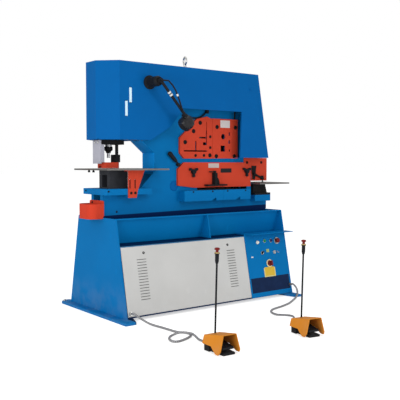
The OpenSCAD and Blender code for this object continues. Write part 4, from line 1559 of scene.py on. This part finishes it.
@dataclass
class Fasteners:
    """Every screw and bolt head of the machine.

    Attributes:
        guard_face: Y of the front of the shear guards in metres.
        corners: screws at the corners of the shear guards, (x, z).
        section: smaller screws of the section-shear guard, (x, z).
        notch_step: distance from the front of the shear guards back to the notcher's.
    """

    guard_face: float
    corners: tuple[Pair, ...] = (
        (76, 1454), (8, 1384), (-77, 1294), (177, 1190),
        (245, 1184), (441, 1185), (253, 1425), (452, 1427),
    )
    section: tuple[Pair, ...] = ((181, 1343), (181, 1254), (28, 1188), (115, 1189))
    notch_step: float = 14

    def sets(self) -> list[ScrewSet]:
        """The screws, sorted by piece.

        Returns:
            The sets, those of the shear guards first.
        """
        front = self.guard_face / MM
        corners = [(x, front, z) for x, z in self.corners]
        section = [(x, front, z) for x, z in self.section]
        notcher = [(x, front + self.notch_step, 1132) for x in (600, 767)]
        bracket = [(x, -184, 903) for x in (-636, -600)]
        stripper = [(-823, y, 1280) for y in (-22, 26)]
        support = [(x, -165, 895) for x in (-40, 160, 320, 520)]
        table = [(-866, y, 1057) for y in (-28, 40)]
        left, up = Facing.LEFT, Facing.UP
        return [
            ScrewSet("guard_screws_large", socket_screw, (17, 7), corners),
            ScrewSet("guard_screws_small", socket_screw, (12, 5), section),
            ScrewSet("notch_guard_screws", socket_screw, (12, 6), notcher),
            ScrewSet("bracket_bolts", hexagon_bolt, (8.5, 6), bracket),
            ScrewSet("cover_bolt", socket_screw, (11, 6), [(535, -199, 1743)], slot="blue"),
            ScrewSet("stripper_bolts", hexagon_bolt, (7.2, 6), stripper, left, "zinc"),
            ScrewSet("bin_bolt", socket_screw, (8, 6), [(-832, 55, 832)], left),
            ScrewSet("bed_bolt_left", socket_screw, (7, 5), [(-842, 133, 918)], left),
            ScrewSet("bed_bolt_front", socket_screw, (7, 5), [(-825, -176, 918)]),
            ScrewSet("frame_plug", socket_screw, (8, 3), [(-704, -85, 760)]),
            ScrewSet("support_screws", socket_screw, (7, 4), support),
            ScrewSet("table_stops", socket_screw, (9, 16), table, up),
            ScrewSet("anchor_bolt", hexagon_bolt, (11.8, 12), [(-868, 455, 20)], up, "zinc"),
        ]

    def build(self) -> None:
        """Makes the screws and puts them in place of the plain heads."""
        pieces = [screws.build() for screws in self.sets()]
        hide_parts("fasteners")


@dataclass
class CabinetTrim:
    """Louvres and locks of the service panel.

    Attributes:
        fields: centre X of each louvre field, in metres.
        rows: louvres in a field.
        first: place of the lowest louvre up the slope.
        step: distance from louvre to louvre.
        width: length of a louvre.
        lip: pressed lip above a slot, from and to up the slope.
        lip_out: how far the lip stands out.
        slot: half the height of a slot.
        slot_shade_out: how far out the dark strip of painted shade in a slot lies.
        slot_shade_inset: how much shorter that strip is at each end.
        locks: (x, up the slope) of each lock.
        lock_depth: how far the locks are sunk.
    """

    fields: Pair = (-0.651, 0.201)
    rows: int = 15
    first: float = 0.1435
    step: float = 0.0207
    width: float = 0.084
    lip: Pair = (0.0023, 0.0041)
    lip_out: float = 0.0018
    slot: float = 0.0021
    slot_shade_out: float = 0.0009
    slot_shade_inset: float = 0.0022
    locks: tuple[Pair, Pair] = ((-0.627, 0.480), (0.176, 0.480))
    lock_depth: float = 0.001

    def lip_mesh(self) -> bmesh.types.BMesh:
        """The pressed lip above one louvre slot.

        Returns:
            The mesh.
        """
        mesh = bmesh.new()
        half = self.width / 2
        block(mesh, (-half, self.lip[0], PROUD), (half, self.lip[1], self.lip_out))
        soften(mesh, width=0.0006)
        return mesh

    def slot_shade_mesh(self) -> bmesh.types.BMesh:
        """The dark strip in one louvre slot, painted shade for the slot's shadow.

        Returns:
            The mesh.
        """
        mesh = bmesh.new()
        half = self.width / 2 - self.slot_shade_inset
        block(mesh, (-half, -self.slot, PROUD), (half, self.slot, self.slot_shade_out))
        return mesh

    def build(self) -> None:
        """Makes the louvres and locks."""
        spots = [
            SLOPE.point(x, self.first + self.step * i)
            for x in self.fields
            for i in range(self.rows)
        ]
        FITTINGS.place("louvre_lips", self.lip_mesh(), spots, Facing.SLOPE, "white_panel")
        # Painted shade: a dark strip in each louvre slot stands for its shadow
        slot_shades = FITTINGS.place("louvre_blades", self.slot_shade_mesh(), spots, Facing.SLOPE, "black_steel")
        SHOP.coat(slot_shades, Enamel("louvre_shade_paint", LOUVRE_SHADE))
        locks = [SLOPE.point(x, up, -self.lock_depth) for x, up in self.locks]
        ring = collar(outer=0.0095, inner=0.004, height=0.005)
        core = socket_screw(radius=0.0045, height=0.003)
        FITTINGS.place("panel_locks", ring, locks, Facing.SLOPE, "black_steel")
        FITTINGS.place("lock_cores", core, locks, Facing.SLOPE, "zinc")


@dataclass
class OperatorTrim:
    """Bezels, pointers and blank legend plates of the operator panel.

    Places are (x, up the slope).

    Attributes:
        bezels: centre of each small bezel ring.
        stop: centre of the emergency stop's ring.
        isolator: centre of the isolator's disc.
        selector: centre of the mode selector.
        key: centre of the key switch.
        angle: turn of the two pointers in degrees.
        plates: name, lower left and upper right corner, thickness and colour of each plate.
    """

    bezels: tuple[Pair, ...] = (
        (0.501, 0.475), (0.583, 0.482), (0.656, 0.480), (0.542, 0.384), (0.682, 0.380),
    )
    stop: Pair = (0.724, 0.476)
    isolator: Pair = (0.608, 0.292)
    selector: Pair = (0.542, 0.384)
    key: Pair = (0.682, 0.380)
    angle: float = 50.0
    plates: tuple[tuple[str, Pair, Pair, float, Colour], ...] = (
        ("isolator_border", (0.537, 0.181), (0.664, 0.256), 0.001, PALE_YELLOW),
        ("isolator_plate", (0.546, 0.189), (0.655, 0.262), 0.0015, YELLOW),
        ("blank_label", (0.413, 0.352), (0.437, 0.362), 0.0015, OFF_WHITE),
        ("blank_square", (0.592, 0.385), (0.622, 0.412), 0.0015, OLIVE),
    )

    def disc(self) -> None:
        """Adds the cream disc under the isolator's handle."""
        radius, thick = 0.033, 0.003
        mesh = bmesh.new()
        lathe(mesh, [(0.0, PROUD), (radius, PROUD), (radius, thick), (0.0, thick)], steps=40)
        move(mesh, mesh.verts, SLOPE.matrix(*self.isolator))
        publish("isolator_disc", mesh, "blue", finish=Enamel("cream_paint", CREAM, dust=0.0))

    def pointer(self, name: str, spot: Pair, base: float, body: str) -> None:
        """Adds the white bar on a turning switch.

        Args:
            name: the piece's name.
            spot: centre of the switch.
            base: height of the switch's face above the panel.
            body: body that the bar turns with.
        """
        length, half, thick = 0.0115, 0.0022, 0.0008
        mesh = bmesh.new()
        block(mesh, (-length, -half, base), (0.0, half, base + thick))
        turn = Matrix.Rotation(math.radians(self.angle), 4, "Z")
        move(mesh, mesh.verts, SLOPE.matrix(*spot) @ turn)
        publish(name, mesh, "white_panel", body, Moulding("white_pointer", OFF_WHITE))

    def build(self) -> None:
        """Makes the bezels, the plates and the pointers."""
        rings = [SLOPE.point(*spot, PROUD) for spot in self.bezels]
        small = collar(outer=0.0155, inner=0.0115, height=0.004)
        large = collar(outer=0.029, inner=0.012, height=0.005)
        FITTINGS.place("control_bezels", small, rings, Facing.SLOPE, "zinc")
        stop = [SLOPE.point(*self.stop, PROUD)]
        FITTINGS.place("stop_bezel", large, stop, Facing.SLOPE, "zinc")
        self.disc()
        for name, low, high, thick, colour in self.plates:
            blank_plate(name, (*low, PROUD), (*high, thick), "blue", colour, SLOPE.matrix())
        self.pointer("selector_pointer", self.selector, 0.0182, "mode_selector")
        self.pointer("key_pointer", self.key, 0.0082, "key")


@dataclass
class GuardTrim:
    """Blank rating plates on the shear guards.

    Attributes:
        face: Y of the guards' front face.
        thick: how far the plates stand out.
        plates: name, lower left and upper right corner (x, z) and colour of each plate.
    """

    face: float
    thick: float = 0.0016
    plates: tuple[tuple[str, Pair, Pair, Colour], ...] = (
        ("bar_rating_plate", (0.289, 1.421), (0.392, 1.483), (0.62, 0.56, 0.55)),
        ("flat_rating_plate", (0.161, 1.087), (0.274, 1.124), (0.50, 0.42, 0.40)),
        ("flat_dark_plate", (0.292, 1.046), (0.411, 1.082), (0.02, 0.02, 0.022)),
    )

    def build(self) -> None:
        """Makes the plates."""
        front, back = self.face - self.thick, self.face - PROUD
        for name, (left, foot), (right, top), colour in self.plates:
            blank_plate(name, (left, front, foot), (right, back, top), "white_panel", colour)


@dataclass
class FootSwitchTrim:
    """Yellow ring of a foot switch's stop pole.

    Attributes:
        side: left or right.
        spot: place of the foot switch on the floor.
        turn: its turn in degrees.
        lean: lean of the pole in degrees.
        foot: foot of the pole on the foot switch.
        height: height of the ring up the pole.
        thick: thickness of the ring.
        radii: radius of the ring inside, at its faces and at the bulge between them.
    """

    side: str
    spot: Pair
    turn: float
    lean: float = 1.6
    foot: Point = (0.010, 0.055, 0.0502)
    height: float = 0.5325
    thick: float = 0.006
    radii: Point = (0.0100, 0.0160, 0.0168)

    def matrix(self) -> Matrix:
        """Frame of the pole.

        Returns:
            The frame.
        """
        turn = Matrix.Rotation(math.radians(self.turn), 4, "Z")
        lean = Matrix.Rotation(math.radians(self.lean), 4, "Y")
        return Matrix.Translation((*self.spot, 0.0)) @ turn @ Matrix.Translation(self.foot) @ lean

    def build(self) -> None:
        """Makes the ring."""
        inner, outer, bulge = self.radii
        low, high = self.height, self.height + self.thick
        profile = [(inner, low), (outer, low), (bulge, (low + high) / 2), (outer, high), (inner, high)]
        mesh = bmesh.new()
        tube(mesh, profile, steps=32)
        weld(mesh)
        move(mesh, mesh.verts, self.matrix())
        paint = Moulding("yellow_ring", DULL_YELLOW, roughness=0.35)
        publish(f"stop_ring_{self.side}", mesh, "red_plastic", finish=paint)


@dataclass
class WorkLamp:
    """White clips on the arm of the work lamp, and a white ring on its lead as a painted highlight.

    Attributes:
        pivot: place of the arm's hinge.
        reach: length of the arm.
        droop: angle of the arm below the horizontal in degrees.
        shares: place of each clip along the arm, as a share of it.
        arm_clip: inner radius and length of a clip on the arm.
        lead_spot: a point on the lead.
        lead_turn: slope of the lead there in degrees.
        lead_highlight_ring: inner radius and length of the white ring on the lead, a painted
            highlight.
        wall: thickness of the clips.
    """

    pivot: Point = (-0.480, -0.352, 1.731)
    reach: float = 0.332
    droop: float = 48.0
    shares: Pair = (0.33, 0.40)
    arm_clip: Pair = (0.0112, 0.014)
    lead_spot: Point = (-0.344, -0.3696, 1.6315)
    lead_turn: float = 64.6
    lead_highlight_ring: Pair = (0.0063, 0.016)
    wall: float = 0.002

    def along(self, share: float) -> Matrix:
        """Frame on the arm, with X along it.

        Args:
            share: place along the arm, as a share of it.

        Returns:
            The frame.
        """
        turn = Matrix.Rotation(math.radians(self.droop), 4, "Y")
        away = Matrix.Translation((self.reach * share, 0.0, 0.0))
        return Matrix.Translation(self.pivot) @ turn @ away

    def build(self) -> None:
        """Makes the clips and the painted highlight on the lead."""
        mesh = bmesh.new()
        upright = Matrix.Rotation(QUARTER, 4, "Y")
        clips = [(self.along(share), *self.arm_clip) for share in self.shares]
        # Painted highlight: a white ring on the lead
        turn = Matrix.Rotation(math.radians(self.lead_turn), 4, "Y")
        clips.append((Matrix.Translation(self.lead_spot) @ turn, *self.lead_highlight_ring))
        for place, inner, length in clips:
            outer, end = inner + self.wall, length / 2
            ring = tube(mesh, [(inner, -end), (outer, -end), (outer, end), (inner, end)], steps=20)
            move(mesh, ring, place @ upright)
        weld(mesh)
        publish("lamp_clips", mesh, "lamp_metal", "lamp_boom", Moulding("clip_and_highlight_white", OFF_WHITE))


@dataclass(frozen=True)
class SlotStrips:
    """Flat strips that stand behind equal upright slots.

    Attributes:
        name: the piece's name.
        slots: lower left corner of each slot (x, z).
        size: width and height of a slot.
        inset: gap between a strip's edges and the slot's, along X and Z.
        depth: Y of the front and the back of the strips.
        slot: material slot of the record.
        finish: coat that differs from the slot's.
    """

    name: str
    slots: tuple[Pair, ...]
    size: Pair
    inset: Pair
    depth: Pair
    slot: str
    finish: Finish | None = None

    def build(self) -> None:
        """Makes the strips."""
        width, height = self.size
        side, end = self.inset
        front, back = self.depth
        mesh = bmesh.new()
        for x, z in self.slots:
            block(mesh, (x + side, front, z + end), (x + width - side, back, z + height - end))
        publish(self.name, mesh, self.slot, finish=self.finish)


# Painted shade: black plates behind the slots of the table bracket keep them dark
BRACKET_SHADE_PLATES = SlotStrips(
    "bracket_slot_plates",
    slots=((-0.652, 0.935), (-0.607, 0.935)),
    size=(0.011, 0.072),
    inset=(0.0006, 0.003),
    depth=(-0.1795, -0.1775),
    slot="black_steel",
)
COVER_STRIPS = SlotStrips(
    "cover_slot_strips",
    slots=((-0.658, 1.568), (-0.694, 1.468)),
    size=(0.022, 0.120),
    inset=(0.0006, 0.006),
    depth=(-0.1986, -0.1958),
    slot="white_panel",
    finish=Enamel("slot_strip_paint", STRIP_WHITE, rub=0.0),
)


@dataclass
class RecessTrim:
    """Floor of the long recess, dark with painted shade, and the flange above the service panel,
    lighter with painted light.

    Attributes:
        span: X from end to end of the recess floor.
        shelf: Y from front to back and height of the recess floor.
        thick: thickness of the floor.
        flange: place of the flange up the slope, from and to.
        sunk: how far the back and the front of the flange lie behind the slope.
    """

    span: Pair = (-0.8235, 0.3715)
    shelf: Point = (-0.3120, -0.1965, 0.5300)
    thick: float = 0.002
    flange: Pair = (0.5304, 0.5372)
    sunk: Pair = (0.0028, 0.0004)

    def build(self) -> None:
        """Makes the floor and the flange."""
        left, right = self.span
        front, back, height = self.shelf
        mesh = bmesh.new()
        block(mesh, (left, front, height), (right, back, height + self.thick))
        # Painted shade: the recess floor is dark
        publish("recess_floor", mesh, "blue", finish=Enamel("recess_shade_paint", RECESS_SHADE))
        mesh = bmesh.new()
        low = (left, self.flange[0], -self.sunk[0])
        block(mesh, low, (right, self.flange[1], -self.sunk[1]))
        move(mesh, mesh.verts, SLOPE.matrix())
        # Painted light: the flange is lighter as if lit from above
        publish("panel_flange", mesh, "blue", finish=Enamel("flange_highlight_paint", FLANGE_HIGHLIGHT_BLUE))


@dataclass
class RearShadeStrips:
    """Black strips behind the stock passages of the rear frame plate: painted shade for the view
    through them.

    Attributes:
        runs: (low X, high X, low Z, high Z) of each run of strips.
        face: Y of the front of the strips.
        thick: thickness of a strip.
        strip: width of one strip.
        gap: gap between two strips.
    """

    runs: tuple[tuple[float, float, float, float], ...] = (
        (0.040, 0.616, 0.895, 0.945),
        (-0.100, 0.158, 1.208, 1.243),
        (0.010, 0.050, 1.243, 1.318),
        (0.096, 0.158, 1.262, 1.480),
        (0.280, 0.360, 1.205, 1.385),
    )
    face: float = 0.0862
    thick: float = 0.003
    strip: float = 0.036
    gap: float = 0.0002

    def build(self) -> None:
        """Makes the strips."""
        back = self.face + self.thick
        mesh = bmesh.new()
        for left, right, foot, top in self.runs:
            count = max(1, round((right - left) / self.strip))
            width = (right - left) / count
            for i in range(count):
                start = left + i * width
                block(mesh, (start, self.face, foot), (start + width - self.gap, back, top))
        # Painted shade: black strips that close the view through the passages
        publish("stock_curtains", mesh, "hose")


class CadDress:
    """Puts the finishes on the CAD pieces."""

    def build(self) -> None:
        """Coats every node with its slot's finish, and some with one of their own."""
        for part in frame["record"]["subparts"]:
            SHOP.coat(NODES[part["node"]], FINISHES[part["material_slot"]])
        for node, finish in NODE_FINISHES.items():
            SHOP.coat(NODES[node], finish)


def main() -> None:
    """Builds the studio, the finishes and every added piece."""
    logging.basicConfig(level=logging.INFO, format="%(name)s: %(message)s")
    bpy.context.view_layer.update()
    Studio().build()
    hose = hose_tree()
    Conduit("conduit_hose_left", "conduit_left", LEFT_ROUTE).build(hose)
    Conduit("conduit_hose_right", "conduit_right", RIGHT_ROUTE).build(hose)
    CadDress().build()
    guard_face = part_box("angle_guard")[0].y
    parts = [
        Fasteners(guard_face),
        CabinetTrim(),
        OperatorTrim(),
        GuardTrim(guard_face),
        FootSwitchTrim("left", (-0.782, -1.390), -4.0),
        FootSwitchTrim("right", (-0.065, -1.413), -10.0),
        WorkLamp(),
        BRACKET_SHADE_PLATES,
        COVER_STRIPS,
        RecessTrim(),
        RearShadeStrips(),
    ]
    for part in parts:
        part.build()
        LOG.info("%s done", type(part).__name__)


if __name__ == "__main__":
    main()
